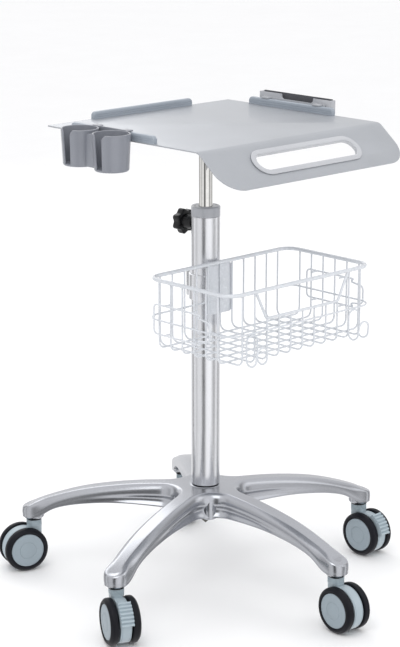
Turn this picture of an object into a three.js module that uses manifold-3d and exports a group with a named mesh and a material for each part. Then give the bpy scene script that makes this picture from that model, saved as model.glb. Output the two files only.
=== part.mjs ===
// Height-adjustable laboratory trolley on a five-leg caster base: sloped-front tray on a
// telescopic mast, wire basket clamped to the column. Millimetres, +Z up. Dimensions are
// stated about the column axis with the floor at z = 0, and the finished group is moved so
// that its origin is the bottom centre of its bounding box. The handle side faces -Y.
import * as THREE from 'three';
import { mergeVertices } from 'three/addons/utils/BufferGeometryUtils.js';
import Module from 'manifold-3d';

const wasm = await Module();
wasm.setup();

const GAP = 0.3;

// Casters
const WHEEL_RADIUS = 37.5;
const WHEEL_SEGMENTS = 24;
const AXLE_HEIGHT = WHEEL_RADIUS * Math.cos(Math.PI / WHEEL_SEGMENTS);
const WHEEL_INNER_FACE = 11.5;
const WHEEL_OUTER_FACE = 24.5;
const WHEEL_BORE = 3.5;
const AXLE_RADIUS = 3.1;
const AXLE_HALF_LENGTH = 20.4;
const CASTER_TRAIL = 20;
const FENDER_RADIUS = 35;
const FENDER_HALF_WIDTH = 9.7;
const FENDER_CUT_HEIGHT = 8;
const NECK_HALF_WIDTH = 13;
const NECK_TOP = 84;
const NECK_BOTTOM = 56;
const SPINDLE_RADIUS = 5;
const WASHER_RADIUS = 12.6;
const WASHER_TOP = 86;
const STEM_TOP = 102;
const PEDAL_START = 8;
const PEDAL_END = 62;
const PEDAL_HALF_WIDTH = 7.4;
const PEDAL_RIBS = 6;

// Five-leg base
const LEG_COUNT = 5;
const LEG_STEP = 360 / LEG_COUNT;
const STEM_RING_RADIUS = 295;
const SOCKET_BOTTOM = 86.3;
const SEAT_RADIUS = 12.6;
const LEG_HALF_WIDTH = 20.5;
const OUTLINE_HALF_WIDTH = 10.5;
const WEB_RADIUS = 43;
const HUB_TOP = 167;
const HUB_BOTTOM = 112;
const HUB_BORE = 6.5;

// Column and mast
const COLUMN_RADIUS = 23.5;
const COLUMN_BORE = 21.5;
const COLUMN_TOP = 618;
const SPIGOT_TOP = 208;
const COLLAR_TOP = 634.5;
const COLLAR_SCREW_RING = 17.6;
const COLLAR_SCREW_ANGLE = -30;
const BUSH_BOTTOM = 566;
const MAST_RADIUS = 11.1;
const MAST_BORE = 9.3;
const MAST_BOTTOM = 330;
const GLIDE_HEIGHT = 30;
const KNOB_HEIGHT = 602;
const KNOB_RADIUS = 22;
const KNOB_LOBES = 7;

// Tray
const TRAY_TOP = 768.6;
const TRAY_THICKNESS = 2.2;
const TRAY_HALF_WIDTH = 200;
const TRAY_BACK = 152.5;
const TRAY_BEND = -190;
const TRAY_BEND_RADIUS = 18;
const PANEL_ANGLE = THREE.MathUtils.degToRad(38.8);
const PANEL_LENGTH = 82.5;
const PANEL_CORNER_RADIUS = 46;
const SLOT_CENTRE = 39.8;
const GRIP_HALF_LENGTH = 106.5;
const GRIP_HALF_HEIGHT = 15.8;
const GRIP_WALL = 3;
const BEZEL_LIP = 9;
const RAIL_HEIGHT = 12;
const RAIL_DEPTH = 8;
const RAIL_SEAT = 0.6;
const REAR_RAIL_HALF_LENGTH = 108;
const SIDE_RAIL_FRONT = -94;
const SIDE_RAIL_BACK = 94;

// Cup holder on the left rail
const CUP_RADIUS_TOP = 29.5;
const CUP_RADIUS_BOTTOM = 26.5;
const CUP_WALL = 2.8;
const CUP_TOP = 783.5;
const CUP_HEIGHT = 58;
const CUP_X = -233;
const CUP_SPACING = 72.4;
const CUP_SLOT_ANGLE = 180;

// Side pocket on the right rail
const POCKET_INNER_X = 203.5;
const POCKET_OUTER_X = 216;
const POCKET_HALF_LENGTH = 80;
const POCKET_TOP = 790;
const POCKET_BOTTOM = 738;
const POCKET_WALL = 2.2;

// Basket
const WIRE = 3.2;
const LEVEL_WIRE = 2.7;
const RIM_WIRE = 6.4;
const RIM_HALF_DEPTH = 1.9;
const BASKET_HALF_WIDTH = 158;
const BASKET_BACK = -34;
const BASKET_DEPTH = 182;
const BASKET_FRONT = BASKET_BACK - BASKET_DEPTH;
const BASKET_RIM = 547;
const BASKET_MID = 484.5;
const BASKET_BOTTOM = 434.6;
const FRONT_PITCH = 26.4;
const FRONT_WIRES = 11;
const SIDE_WIRES = 5;
const SIDE_PITCH = BASKET_DEPTH / (SIDE_WIRES + 1);
const DIP_HEIGHT = 503;
const DIP_TOP_HALF = 101;
const DIP_HALF_DEPTH = 2.1;
const FLOOR_WIRES = 7;
const FLOOR_PITCH = 39.6;
const HOOK_OFFSET = 114.5;
const FRAME_STANDOFF = 14;

const SILVER = { color: 0xc9ccd2, metalness: 0.8, roughness: 0.35 };
const CAST = { color: 0xd3d5d9, metalness: 0.85, roughness: 0.3 };
const CHROME = { color: 0xe8e8e6, metalness: 1, roughness: 0.08 };
const STEEL = { color: 0x8f9296, metalness: 0.9, roughness: 0.4 };
const BLACK = { color: 0x141416, metalness: 0, roughness: 0.55 };
const TYRE = { color: 0x2b2c34, metalness: 0, roughness: 0.7 };
const CASTER_GREY = { color: 0xa8b4be, metalness: 0, roughness: 0.45 };
const CUP_GREY = { color: 0x9fa2a9, metalness: 0, roughness: 0.4 };
const TRAY_SILVER = { color: 0xbfc2c8, metalness: 0.4, roughness: 0.45 };
const WHITE_WIRE = { color: 0xeff1f4, metalness: 0, roughness: 0.35 };
const PALE_GREY = { color: 0xd2d4d7, metalness: 0, roughness: 0.5 };
const DARK_FOAM = { color: 0x2f3036, metalness: 0, roughness: 0.9 };
const NYLON = { color: 0xd9dadb, metalness: 0, roughness: 0.6 };

const trolley = new THREE.Group();

function addPart(name, geometry, finish, parent = trolley) {
  const mesh = new THREE.Mesh(geometry, new THREE.MeshStandardMaterial(finish));
  mesh.name = name;
  parent.add(mesh);
  return mesh;
}

function polar(radius, degrees) {
  const angle = THREE.MathUtils.degToRad(degrees);
  return new THREE.Vector2(radius * Math.cos(angle), radius * Math.sin(angle));
}

// Solid modelling helpers

// Closed three.js geometry has split corners to weld; a manifold result is welded already.
function solid(geometry) {
  const split = geometry.attributes.normal !== undefined;
  const bare = geometry.clone();
  bare.deleteAttribute('normal');
  bare.deleteAttribute('uv');
  const welded = split ? mergeVertices(bare, 1e-4) : bare;
  const mesh = new wasm.Mesh({
    numProp: 3,
    vertProperties: new Float32Array(welded.attributes.position.array),
    triVerts: new Uint32Array(welded.index.array),
  });
  return new wasm.Manifold(mesh);
}

function toGeometry(manifold) {
  const mesh = manifold.getMesh();
  const geometry = new THREE.BufferGeometry();
  geometry.setAttribute('position', new THREE.BufferAttribute(mesh.vertProperties, 3));
  geometry.setIndex(new THREE.BufferAttribute(mesh.triVerts, 1));
  return geometry;
}

function join(...geometries) {
  return toGeometry(geometries.map(solid).reduce((sum, piece) => sum.add(piece)));
}

function cut(geometry, ...cutters) {
  return toGeometry(cutters.map(solid).reduce((rest, piece) => rest.subtract(piece), solid(geometry)));
}

// Box with its corners exactly on the given limits.
function box(x0, x1, y0, y1, z0, z1) {
  const geometry = new THREE.BoxGeometry(1, 1, 1);
  const corners = geometry.attributes.position;
  for (let index = 0; index < corners.count; index += 1) {
    const [x, y, z] = [corners.getX(index), corners.getY(index), corners.getZ(index)];
    corners.setXYZ(index, x < 0 ? x0 : x1, y < 0 ? y0 : y1, z < 0 ? z0 : z1);
  }
  return geometry;
}

// Turned part about Z from [radius, z] pairs that start and end on the axis or close on themselves.
function turned(profile, segments = 32) {
  const points = profile.map(([radius, z]) => new THREE.Vector2(radius, z));
  return new THREE.LatheGeometry(points, segments).rotateX(Math.PI / 2);
}

function rod(radius, z0, z1, segments = 24) {
  return turned([[0, z0], [radius, z0], [radius, z1], [0, z1]], segments);
}

function ring(inner, outer, z0, z1, segments = 32) {
  return turned([[inner, z0], [outer, z0], [outer, z1], [inner, z1], [inner, z0]], segments);
}

// Prism of a 2D shape along +Z from z0 to z1.
function prism(shape, z0, z1, curveSegments = 8) {
  const options = { depth: z1 - z0, bevelEnabled: false, curveSegments };
  return new THREE.ExtrudeGeometry(shape, options).translate(0, 0, z0);
}

function roundedRectangle(x0, x1, y0, y1, radius) {
  const shape = new THREE.Shape();
  shape.moveTo(x0 + radius, y0);
  shape.lineTo(x1 - radius, y0);
  shape.absarc(x1 - radius, y0 + radius, radius, -Math.PI / 2, 0);
  shape.lineTo(x1, y1 - radius);
  shape.absarc(x1 - radius, y1 - radius, radius, 0, Math.PI / 2);
  shape.lineTo(x0 + radius, y1);
  shape.absarc(x0 + radius, y1 - radius, radius, Math.PI / 2, Math.PI);
  shape.lineTo(x0, y0 + radius);
  shape.absarc(x0 + radius, y0 + radius, radius, Math.PI, Math.PI * 1.5);
  return shape;
}

// Casters, built about the stem axis with the trailing side towards +X

function casterStem() {
  return turned([
    [0, NECK_BOTTOM + 4], [SPINDLE_RADIUS, NECK_BOTTOM + 4], [SPINDLE_RADIUS, NECK_TOP + GAP],
    [WASHER_RADIUS, NECK_TOP + GAP], [WASHER_RADIUS, WASHER_TOP], [SPINDLE_RADIUS + 0.5, WASHER_TOP],
    [SPINDLE_RADIUS + 0.5, STEM_TOP], [0, STEM_TOP],
  ], 16);
}

function alongAxle(geometry) {
  return geometry.rotateX(-Math.PI / 2).translate(CASTER_TRAIL, 0, AXLE_HEIGHT);
}

function casterHousing() {
  const neck = prism(
    roundedRectangle(-NECK_HALF_WIDTH, NECK_HALF_WIDTH, -NECK_HALF_WIDTH, NECK_HALF_WIDTH, 7),
    NECK_BOTTOM, NECK_TOP, 4,
  );
  const wheelRoom = [-1, 1].map((side) => {
    const clearance = rod(WHEEL_RADIUS + 2, FENDER_HALF_WIDTH, FENDER_HALF_WIDTH + 20, 36);
    return alongAxle(side > 0 ? clearance : clearance.rotateX(Math.PI));
  });
  const fender = alongAxle(rod(FENDER_RADIUS, -FENDER_HALF_WIDTH, FENDER_HALF_WIDTH, 36));
  const body = join(cut(neck, ...wheelRoom), fender);
  const floorCut = box(-60, 80, -30, 30, -10, FENDER_CUT_HEIGHT);
  const spindleBore = rod(SPINDLE_RADIUS + GAP, NECK_BOTTOM + 3, NECK_TOP + 5, 16);
  const axleBore = alongAxle(rod(AXLE_RADIUS + GAP, -30, 30, 16));
  return cut(body, floorCut, spindleBore, axleBore);
}

function casterAxle() {
  return alongAxle(rod(AXLE_RADIUS, -AXLE_HALF_LENGTH, AXLE_HALF_LENGTH, 16));
}

function casterWheel(side) {
  const wheel = turned([
    [0, WHEEL_OUTER_FACE + 0.5], [WHEEL_RADIUS - 9, WHEEL_OUTER_FACE - 0.5],
    [WHEEL_RADIUS - 3.5, WHEEL_OUTER_FACE - 0.5], [WHEEL_RADIUS, WHEEL_OUTER_FACE - 4.5],
    [WHEEL_RADIUS, WHEEL_INNER_FACE + 1.2], [WHEEL_RADIUS - 1.2, WHEEL_INNER_FACE],
    [WHEEL_BORE, WHEEL_INNER_FACE], [WHEEL_BORE, AXLE_HALF_LENGTH + GAP], [0, AXLE_HALF_LENGTH + GAP],
  ].reverse(), WHEEL_SEGMENTS).rotateZ(Math.PI / WHEEL_SEGMENTS);
  return alongAxle(side > 0 ? wheel : wheel.rotateX(Math.PI));
}

// Ribbed foot pedal that caps the upper trailing part of the fender.
function brakePedal() {
  const inner = FENDER_RADIUS + GAP;
  const outline = new THREE.Shape();
  outline.moveTo(...polar(inner, PEDAL_END).toArray());
  for (let rib = 0; rib < PEDAL_RIBS; rib += 1) {
    const span = (PEDAL_END - PEDAL_START) / PEDAL_RIBS;
    const start = PEDAL_END - rib * span;
    outline.lineTo(...polar(inner + 3.2, start - 0.08 * span).toArray());
    outline.lineTo(...polar(inner + 5, start - 0.3 * span).toArray());
    outline.lineTo(...polar(inner + 5, start - 0.7 * span).toArray());
    outline.lineTo(...polar(inner + 3.2, start - 0.92 * span).toArray());
  }
  outline.lineTo(...polar(inner, PEDAL_START).toArray());
  outline.absarc(0, 0, inner, ...[PEDAL_START, PEDAL_END].map(THREE.MathUtils.degToRad), false);
  const pedal = prism(outline, -PEDAL_HALF_WIDTH, PEDAL_HALF_WIDTH, 8);
  return pedal.rotateX(Math.PI / 2).translate(CASTER_TRAIL, 0, AXLE_HEIGHT);
}

function addCaster(label, legAngle, trailAngle, hasBrake) {
  const caster = new THREE.Group();
  const stem = polar(STEM_RING_RADIUS, legAngle);
  caster.position.set(stem.x, stem.y, 0);
  caster.rotation.z = THREE.MathUtils.degToRad(trailAngle);
  trolley.add(caster);
  addPart(`${label}_stem`, casterStem(), BLACK, caster);
  addPart(`${label}_housing`, casterHousing(), CASTER_GREY, caster);
  addPart(`${label}_axle`, casterAxle(), STEEL, caster);
  addPart(`${label}_wheel_left`, casterWheel(1), TYRE, caster);
  addPart(`${label}_wheel_right`, casterWheel(-1), TYRE, caster);
  if (hasBrake) {
    addPart(`${label}_brake_pedal`, brakePedal(), CASTER_GREY, caster);
  }
}

// Base

// Heights of the crown, of the lower edge of the shell and of the skirt under it, as (radius, z).
const [LEG_CROWN, LEG_EDGE, LEG_SKIRT] = [
  [[20, 166.2], [80, 163.5], [160, 155], [230, 140], [290, 118], [320, 98]],
  [[20, 147.5], [100, 147], [150, 143], [195, 137], [250, 122], [290, 105], [320, 96]],
  [[20, 121], [60, 123.5], [110, 126.5], [160, 126.3], [200, 122.5], [250, 113.5], [290, 99.5], [320, 92]],
].map((points) => new THREE.SplineCurve(points.map(([radius, z]) => new THREE.Vector2(radius, z))));

function heightOn(line, radius) {
  let low = 0;
  let high = 1;
  for (let step = 0; step < 24; step += 1) {
    const middle = (low + high) / 2;
    if (line.getPoint(middle).x < radius) low = middle;
    else high = middle;
  }
  return line.getPoint(low).y;
}

// Leg section at a radius, as [half width, z] from the crown round the shell edge, in under it to
// the groove, out to the skirt and up to the ceiling of the hollow underside.
function legSection(radius) {
  const [crown, edge, skirt] = [LEG_CROWN, LEG_EDGE, LEG_SKIRT].map((line) => heightOn(line, radius));
  const narrowing = THREE.MathUtils.smoothstep(radius, 180, 300);
  const half = LEG_HALF_WIDTH - 1.9 * narrowing;
  const flat = OUTLINE_HALF_WIDTH - 3 * narrowing;
  const grooveDepth = 6.5 * (1 - THREE.MathUtils.smoothstep(radius, 100, 285));
  const grooveHalf = half - 1.8 - grooveDepth;
  const skirtHalf = half - 2.2;
  const between = (part) => skirt + part * (edge - skirt);
  return [
    [flat, crown], [flat + 0.4 * (half - flat), crown - 1.2], [half - 2.6, crown - 4.6],
    [half - 0.9, crown - 0.45 * (crown - edge)], [half, edge + 1.6], [half - 0.5, edge],
    [grooveHalf, between(0.86)], [grooveHalf, between(0.4)], [skirtHalf, between(0.22)],
    [skirtHalf - 1.5, skirt], [11, skirt], [8, skirt + 0.7 * (crown - skirt)],
  ];
}

// Half outline of one leg along +X on its right side, from the middle of the web to the tip, as
// the point of a line OUTLINE_HALF_WIDTH out from the leg's middle and its outward normal.
function halfLegOutline() {
  const centre = WEB_RADIUS + OUTLINE_HALF_WIDTH;
  const webEnd = centre / Math.tan(THREE.MathUtils.degToRad(LEG_STEP / 2));
  const web = [144, 126, 108, 90].map((angle) => {
    const [x, y] = polar(WEB_RADIUS, angle).toArray();
    return { x: webEnd + x, y: -centre + y, nx: -x / WEB_RADIUS, ny: -y / WEB_RADIUS };
  });
  const straight = [120, 160, 200, 235, 265].map((x) => ({ x, y: -OUTLINE_HALF_WIDTH, nx: 0, ny: -1 }));
  const tip = [-90, -60, -30].map((angle) => {
    const [x, y] = polar(1, angle).toArray();
    return { x: STEM_RING_RADIUS + OUTLINE_HALF_WIDTH * x, y: OUTLINE_HALF_WIDTH * y, nx: x, ny: y };
  });
  return [...web, ...straight, ...tip];
}

// Closed outline of the whole star, leg by leg, with each leg symmetrical about its tip.
function starOutline() {
  const half = halfLegOutline();
  const apex = { x: STEM_RING_RADIUS + OUTLINE_HALF_WIDTH, y: 0, nx: 1, ny: 0 };
  const back = half.slice(1).reverse().map(({ x, y, nx, ny }) => ({ x, y: -y, nx, ny: -ny }));
  const leg = [...half, apex, ...back];
  return Array.from({ length: LEG_COUNT }, (_, index) => {
    const turn = THREE.MathUtils.degToRad(index * LEG_STEP - 90);
    const [c, s] = [Math.cos(turn), Math.sin(turn)];
    return leg.map(({ x, y, nx, ny }) => (
      { x: x * c - y * s, y: x * s + y * c, nx: nx * c - ny * s, ny: nx * s + ny * c }));
  });
}

// Triangles over one ring of the star: a strip along each leg and a fan round the middle.
function starCap(legLength, centreIndex, first, facingUp) {
  const count = legLength * LEG_COUNT;
  const triangles = [];
  const add = (a, b, c) => triangles.push(...(facingUp ? [a, b, c] : [a, c, b]));
  for (let leg = 0; leg < LEG_COUNT; leg += 1) {
    const at = (index) => first + (leg * legLength + index) % count;
    for (let index = 0; index < legLength / 2 - 1; index += 1) {
      add(at(index), at(index + 1), at(legLength - index));
      add(at(index + 1), at(legLength - index - 1), at(legLength - index));
    }
    add(at(legLength / 2 - 1), at(legLength / 2), at(legLength / 2 + 1));
    add(at(0), at(legLength), centreIndex);
  }
  return triangles;
}

// The five legs as one skin: the leg section carried round the star's outline.
function starShell() {
  const legs = starOutline();
  const outline = legs.flat();
  const count = outline.length;
  const sections = outline.map(({ x, y }) => legSection(Math.hypot(x, y)));
  const rings = sections[0].length;
  const positions = [];
  for (let ringIndex = 0; ringIndex < rings; ringIndex += 1) {
    outline.forEach(({ x, y, nx, ny }, index) => {
      const [half, z] = sections[index][ringIndex];
      const out = half - OUTLINE_HALF_WIDTH;
      positions.push(x + nx * out, y + ny * out, z);
    });
  }
  const ceiling = sections[0][rings - 1][1];
  positions.push(0, 0, sections[0][0][1], 0, 0, ceiling);
  const centre = rings * count;
  const triangles = [
    ...starCap(legs[0].length, centre, 0, true),
    ...starCap(legs[0].length, centre + 1, centre - count, false),
  ];
  for (let ringIndex = 0; ringIndex + 1 < rings; ringIndex += 1) {
    for (let index = 0; index < count; index += 1) {
      const a = ringIndex * count + index;
      const b = ringIndex * count + (index + 1) % count;
      triangles.push(a, a + count, b, b, a + count, b + count);
    }
  }
  const geometry = new THREE.BufferGeometry();
  geometry.setAttribute('position', new THREE.Float32BufferAttribute(positions, 3));
  geometry.setIndex(triangles);
  return solid(geometry);
}

// Round end under a leg tip, drawn in to a small flat seat for the caster's washer.
function legEnd() {
  const wall = LEG_HALF_WIDTH - 3;
  return solid(turned([
    [0, SOCKET_BOTTOM], [SEAT_RADIUS, SOCKET_BOTTOM], [SEAT_RADIUS + 2.6, SOCKET_BOTTOM + 1.4],
    [wall - 0.8, SOCKET_BOTTOM + 7], [wall, SOCKET_BOTTOM + 11], [wall, 104], [0, 104],
  ], 24).translate(STEM_RING_RADIUS, 0, 0));
}

function starBase() {
  let body = starShell().add(solid(turned([
    [0, HUB_BOTTOM], [21, HUB_BOTTOM], [24, HUB_BOTTOM + 3], [26.5, 160],
    [27.5, 164.6], [25.2, 165.9], [COLUMN_RADIUS, HUB_TOP], [0, HUB_TOP],
  ], 32)));
  let core = solid(rod(HUB_BORE, HUB_BOTTOM - 5, HUB_TOP + 5, 24));
  for (let leg = 0; leg < LEG_COUNT; leg += 1) {
    const turn = [0, 0, leg * LEG_STEP - 90];
    body = body.add(legEnd().rotate(turn));
    const socketBore = solid(rod(SPINDLE_RADIUS + 0.5 + GAP, 60, STEM_TOP + 0.5, 16)
      .translate(STEM_RING_RADIUS, 0, 0));
    core = core.add(socketBore.rotate(turn));
  }
  return toGeometry(body.subtract(core));
}

function hubWasher() {
  return ring(HUB_BORE, 18.5, HUB_BOTTOM - 3.3, HUB_BOTTOM - GAP, 28);
}

// Clamping bolt whose domed head narrows to a point.
function hubBolt() {
  const underHead = HUB_BOTTOM - 3.3 - GAP;
  return turned([
    [0, underHead - 13], [2.6, underHead - 10.5], [7.4, underHead - 6], [9, underHead - 2.5],
    [9, underHead], [6, underHead], [6, SPIGOT_TOP - 12], [0, SPIGOT_TOP - 12],
  ], 20);
}

// Column and mast

function columnSpigot() {
  const body = rod(COLUMN_BORE - GAP, HUB_TOP + GAP, SPIGOT_TOP, 40);
  return cut(body, rod(HUB_BORE, HUB_TOP - 5, SPIGOT_TOP - 10, 24));
}

function outerColumn() {
  const tube = ring(COLUMN_BORE, COLUMN_RADIUS, HUB_TOP + GAP, COLUMN_TOP, 40);
  return cut(tube, knobAxis(rod(4.5, 0, 40, 16)));
}

function knobAxis(geometry) {
  return geometry.rotateX(-Math.PI / 2).translate(0, 0, KNOB_HEIGHT);
}

function guideBush() {
  const bush = ring(MAST_RADIUS + 0.25, COLUMN_BORE - GAP, BUSH_BOTTOM, COLUMN_TOP, 32);
  return cut(bush, knobAxis(rod(4.5, 0, 40, 16)));
}

function collarScrewPlaces() {
  return [COLLAR_SCREW_ANGLE + 180, COLLAR_SCREW_ANGLE].map((angle) => polar(COLLAR_SCREW_RING, angle));
}

function collarScrew(place, clearance) {
  const top = COLLAR_TOP + (clearance ? 1 : -0.6);
  return turned([
    [0, COLUMN_TOP + 4 - clearance], [1.5 + clearance, COLUMN_TOP + 4 - clearance],
    [1.5 + clearance, COLLAR_TOP - 3.2], [3.4 + clearance, COLLAR_TOP - 0.6], [3.4 + clearance, top], [0, top],
  ], 12).translate(place.x, place.y, 0);
}

function columnCollar() {
  const bore = MAST_RADIUS + 0.4;
  const body = turned([
    [bore, COLUMN_TOP + GAP], [COLUMN_RADIUS, COLUMN_TOP + GAP], [COLUMN_RADIUS, COLLAR_TOP - 0.8],
    [COLUMN_RADIUS - 0.8, COLLAR_TOP], [bore, COLLAR_TOP], [bore, COLUMN_TOP + GAP],
  ], 32);
  return cut(body, ...collarScrewPlaces().map((place) => collarScrew(place, GAP)));
}

function clampKnob() {
  const lobed = new THREE.Shape();
  const steps = KNOB_LOBES * 8;
  for (let step = 0; step < steps; step += 1) {
    const angle = step * 2 * Math.PI / steps;
    const radius = KNOB_RADIUS - 1.9 + 1.9 * Math.cos(KNOB_LOBES * angle);
    const point = [radius * Math.cos(angle), radius * Math.sin(angle)];
    if (step === 0) lobed.moveTo(...point);
    else lobed.lineTo(...point);
  }
  lobed.closePath();
  const head = prism(lobed, 44, 58);
  const boss = turned([[0, 28], [9, 28], [13, 44.5], [0, 44.5]], 24);
  const studBore = rod(4 + 0.2, 20, 50, 16);
  return knobAxis(cut(join(head, boss), studBore));
}

function knobStud() {
  return knobAxis(rod(4, MAST_RADIUS + 0.4, 49.6, 16));
}

function glideRing() {
  return ring(MAST_RADIUS + GAP, COLUMN_BORE - 0.4, MAST_BOTTOM, MAST_BOTTOM + GLIDE_HEIGHT, 32);
}

// Steel tube with a retaining flange under the glide ring.
function innerTube() {
  const flange = MAST_BOTTOM - 4;
  return turned([
    [MAST_BORE, flange], [MAST_RADIUS + 4, flange], [MAST_RADIUS + 4, MAST_BOTTOM - GAP],
    [MAST_RADIUS, MAST_BOTTOM - GAP], [MAST_RADIUS, TRAY_TOP - TRAY_THICKNESS - 5],
    [MAST_BORE, TRAY_TOP - TRAY_THICKNESS - 5], [MAST_BORE, flange],
  ], 32);
}

function mastFlange() {
  const top = TRAY_TOP - TRAY_THICKNESS - GAP;
  const plate = prism(roundedRectangle(-60, 60, -60, 60, 10), top - 4, top, 3);
  const cone = ring(MAST_RADIUS + GAP, 17, top - 22, top - 3.9, 32);
  return join(plate, cone);
}

// Tray

// Plan the bent sheet in the YZ plane; `offset` is measured down from the top surface.
function bentProfile() {
  const reach = TRAY_BEND_RADIUS * Math.tan(PANEL_ANGLE / 2);
  const steps = 6;
  const surface = (offset) => {
    const radius = TRAY_BEND_RADIUS - offset;
    const points = [[TRAY_BACK, TRAY_TOP - offset]];
    for (let step = 0; step <= steps; step += 1) {
      const angle = PANEL_ANGLE * step / steps;
      points.push([
        TRAY_BEND + reach - radius * Math.sin(angle),
        TRAY_TOP - TRAY_BEND_RADIUS + radius * Math.cos(angle),
      ]);
    }
    const [y, z] = panelPoint(PANEL_LENGTH, -offset);
    points.push([y, z]);
    return points;
  };
  return [...surface(0), ...surface(TRAY_THICKNESS).reverse()];
}

// Point on the sloped panel: `along` from the bend, `above` its top surface.
function panelPoint(along, above) {
  return [
    TRAY_BEND - along * Math.cos(PANEL_ANGLE) - above * Math.sin(PANEL_ANGLE),
    TRAY_TOP - along * Math.sin(PANEL_ANGLE) + above * Math.cos(PANEL_ANGLE),
  ];
}

// Lays a shape drawn in (x, along) on the sloped panel, as a prism between two heights.
function onPanel(shape, low, high, curveSegments) {
  const flat = prism(shape, low, high, curveSegments);
  return flat.rotateX(PANEL_ANGLE).translate(0, TRAY_BEND, TRAY_TOP);
}

function stadium(halfLength, halfHeight) {
  const straight = halfLength - halfHeight;
  const shape = new THREE.Shape();
  shape.absarc(straight, -SLOT_CENTRE, halfHeight, -Math.PI / 2, Math.PI / 2, false);
  shape.absarc(-straight, -SLOT_CENTRE, halfHeight, Math.PI / 2, Math.PI * 1.5, false);
  return shape;
}

function panelCorner(side) {
  const x = TRAY_HALF_WIDTH - PANEL_CORNER_RADIUS;
  const y = -PANEL_LENGTH + PANEL_CORNER_RADIUS;
  const shape = new THREE.Shape();
  shape.moveTo(TRAY_HALF_WIDTH + 10, y);
  shape.lineTo(TRAY_HALF_WIDTH, y);
  shape.absarc(x, y, PANEL_CORNER_RADIUS, 0, -Math.PI / 2, true);
  shape.lineTo(x, -PANEL_LENGTH - 10);
  shape.lineTo(TRAY_HALF_WIDTH + 10, -PANEL_LENGTH - 10);
  shape.closePath();
  const corner = prism(shape, -10, 10, 10);
  const placed = side > 0 ? corner : corner.rotateY(Math.PI);
  return placed.rotateX(PANEL_ANGLE).translate(0, TRAY_BEND, TRAY_TOP);
}

// Shallow seats for the three rails, open to the edges of the sheet.
function railSeats() {
  const low = TRAY_TOP - RAIL_SEAT;
  const high = TRAY_TOP + 1;
  const inner = TRAY_HALF_WIDTH - RAIL_DEPTH - GAP;
  const [front, back] = [SIDE_RAIL_FRONT - GAP, SIDE_RAIL_BACK + GAP];
  const reach = REAR_RAIL_HALF_LENGTH + GAP;
  return [
    box(-TRAY_HALF_WIDTH - 1, -inner, front, back, low, high),
    box(inner, TRAY_HALF_WIDTH + 1, front, back, low, high),
    box(-reach, reach, TRAY_BACK - RAIL_DEPTH - GAP, TRAY_BACK + 1, low, high),
  ];
}

function tray() {
  const profile = new THREE.Shape(bentProfile().map(([y, z]) => new THREE.Vector2(y, z)));
  const sheet = prism(profile, -TRAY_HALF_WIDTH, TRAY_HALF_WIDTH);
  const standing = sheet.rotateX(Math.PI / 2).rotateZ(Math.PI / 2);
  const slot = onPanel(stadium(GRIP_HALF_LENGTH + GRIP_WALL, GRIP_HALF_HEIGHT + GRIP_WALL), -20, 20, 8);
  return cut(standing, slot, panelCorner(-1), panelCorner(1), ...railSeats());
}

function handleBezel() {
  const lip = stadium(GRIP_HALF_LENGTH + BEZEL_LIP, GRIP_HALF_HEIGHT + BEZEL_LIP);
  const outer = stadium(GRIP_HALF_LENGTH + GRIP_WALL - GAP, GRIP_HALF_HEIGHT + GRIP_WALL - GAP);
  const opening = stadium(GRIP_HALF_LENGTH, GRIP_HALF_HEIGHT);
  const body = join(onPanel(lip, GAP, 2.6, 8), onPanel(outer, -TRAY_THICKNESS - 2, 1, 8));
  return cut(body, onPanel(opening, -20, 20, 8));
}

// Guard rail drawn as a strip from `start` to `end` with rounded upper corners.
function railStrip(start, end) {
  const low = TRAY_TOP - RAIL_SEAT + GAP;
  const high = TRAY_TOP + RAIL_HEIGHT;
  const radius = 5;
  const shape = new THREE.Shape();
  shape.moveTo(start, low);
  shape.lineTo(end, low);
  shape.lineTo(end, high - radius);
  shape.absarc(end - radius, high - radius, radius, 0, Math.PI / 2, false);
  shape.lineTo(start + radius, high);
  shape.absarc(start + radius, high - radius, radius, Math.PI / 2, Math.PI, false);
  shape.closePath();
  return prism(shape, 0, RAIL_DEPTH, 4).rotateX(Math.PI / 2);
}

function rearRail() {
  return railStrip(-REAR_RAIL_HALF_LENGTH, REAR_RAIL_HALF_LENGTH).translate(0, TRAY_BACK, 0);
}

function sideRail(side) {
  const strip = railStrip(SIDE_RAIL_FRONT, SIDE_RAIL_BACK).rotateZ(Math.PI / 2);
  const outerFace = side > 0 ? TRAY_HALF_WIDTH - RAIL_DEPTH : -TRAY_HALF_WIDTH;
  return strip.translate(outerFace, 0, 0);
}

// Accessories on the side rails

// Plate along the tray edge with two lips over the rail, on the left side; `low` is its foot.
function railClip(halfLength, low) {
  const railTop = TRAY_TOP + RAIL_HEIGHT;
  const outer = -TRAY_HALF_WIDTH - GAP - 3.4;
  const plate = box(outer, -TRAY_HALF_WIDTH - GAP, -halfLength, halfLength, low, railTop + 2.4);
  const lips = [-1, 1].map((side) => {
    const y = side * (halfLength - 12);
    return box(outer, -TRAY_HALF_WIDTH + RAIL_DEPTH, y - 8, y + 8, railTop + GAP, railTop + 2.4);
  });
  return [plate, ...lips];
}

function cupOutside(y) {
  const bottom = CUP_TOP - CUP_HEIGHT;
  return turned([
    [0, bottom], [CUP_RADIUS_BOTTOM, bottom], [CUP_RADIUS_TOP, CUP_TOP], [0, CUP_TOP],
  ], 28).translate(CUP_X, y, 0);
}

function cupInside(y) {
  const floor = CUP_TOP - CUP_HEIGHT + 3;
  const over = CUP_TOP + 4;
  return turned([
    [0, floor], [CUP_RADIUS_BOTTOM - CUP_WALL, floor], [CUP_RADIUS_TOP - CUP_WALL + 0.2, over], [0, over],
  ], 28).translate(CUP_X, y, 0);
}

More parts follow.
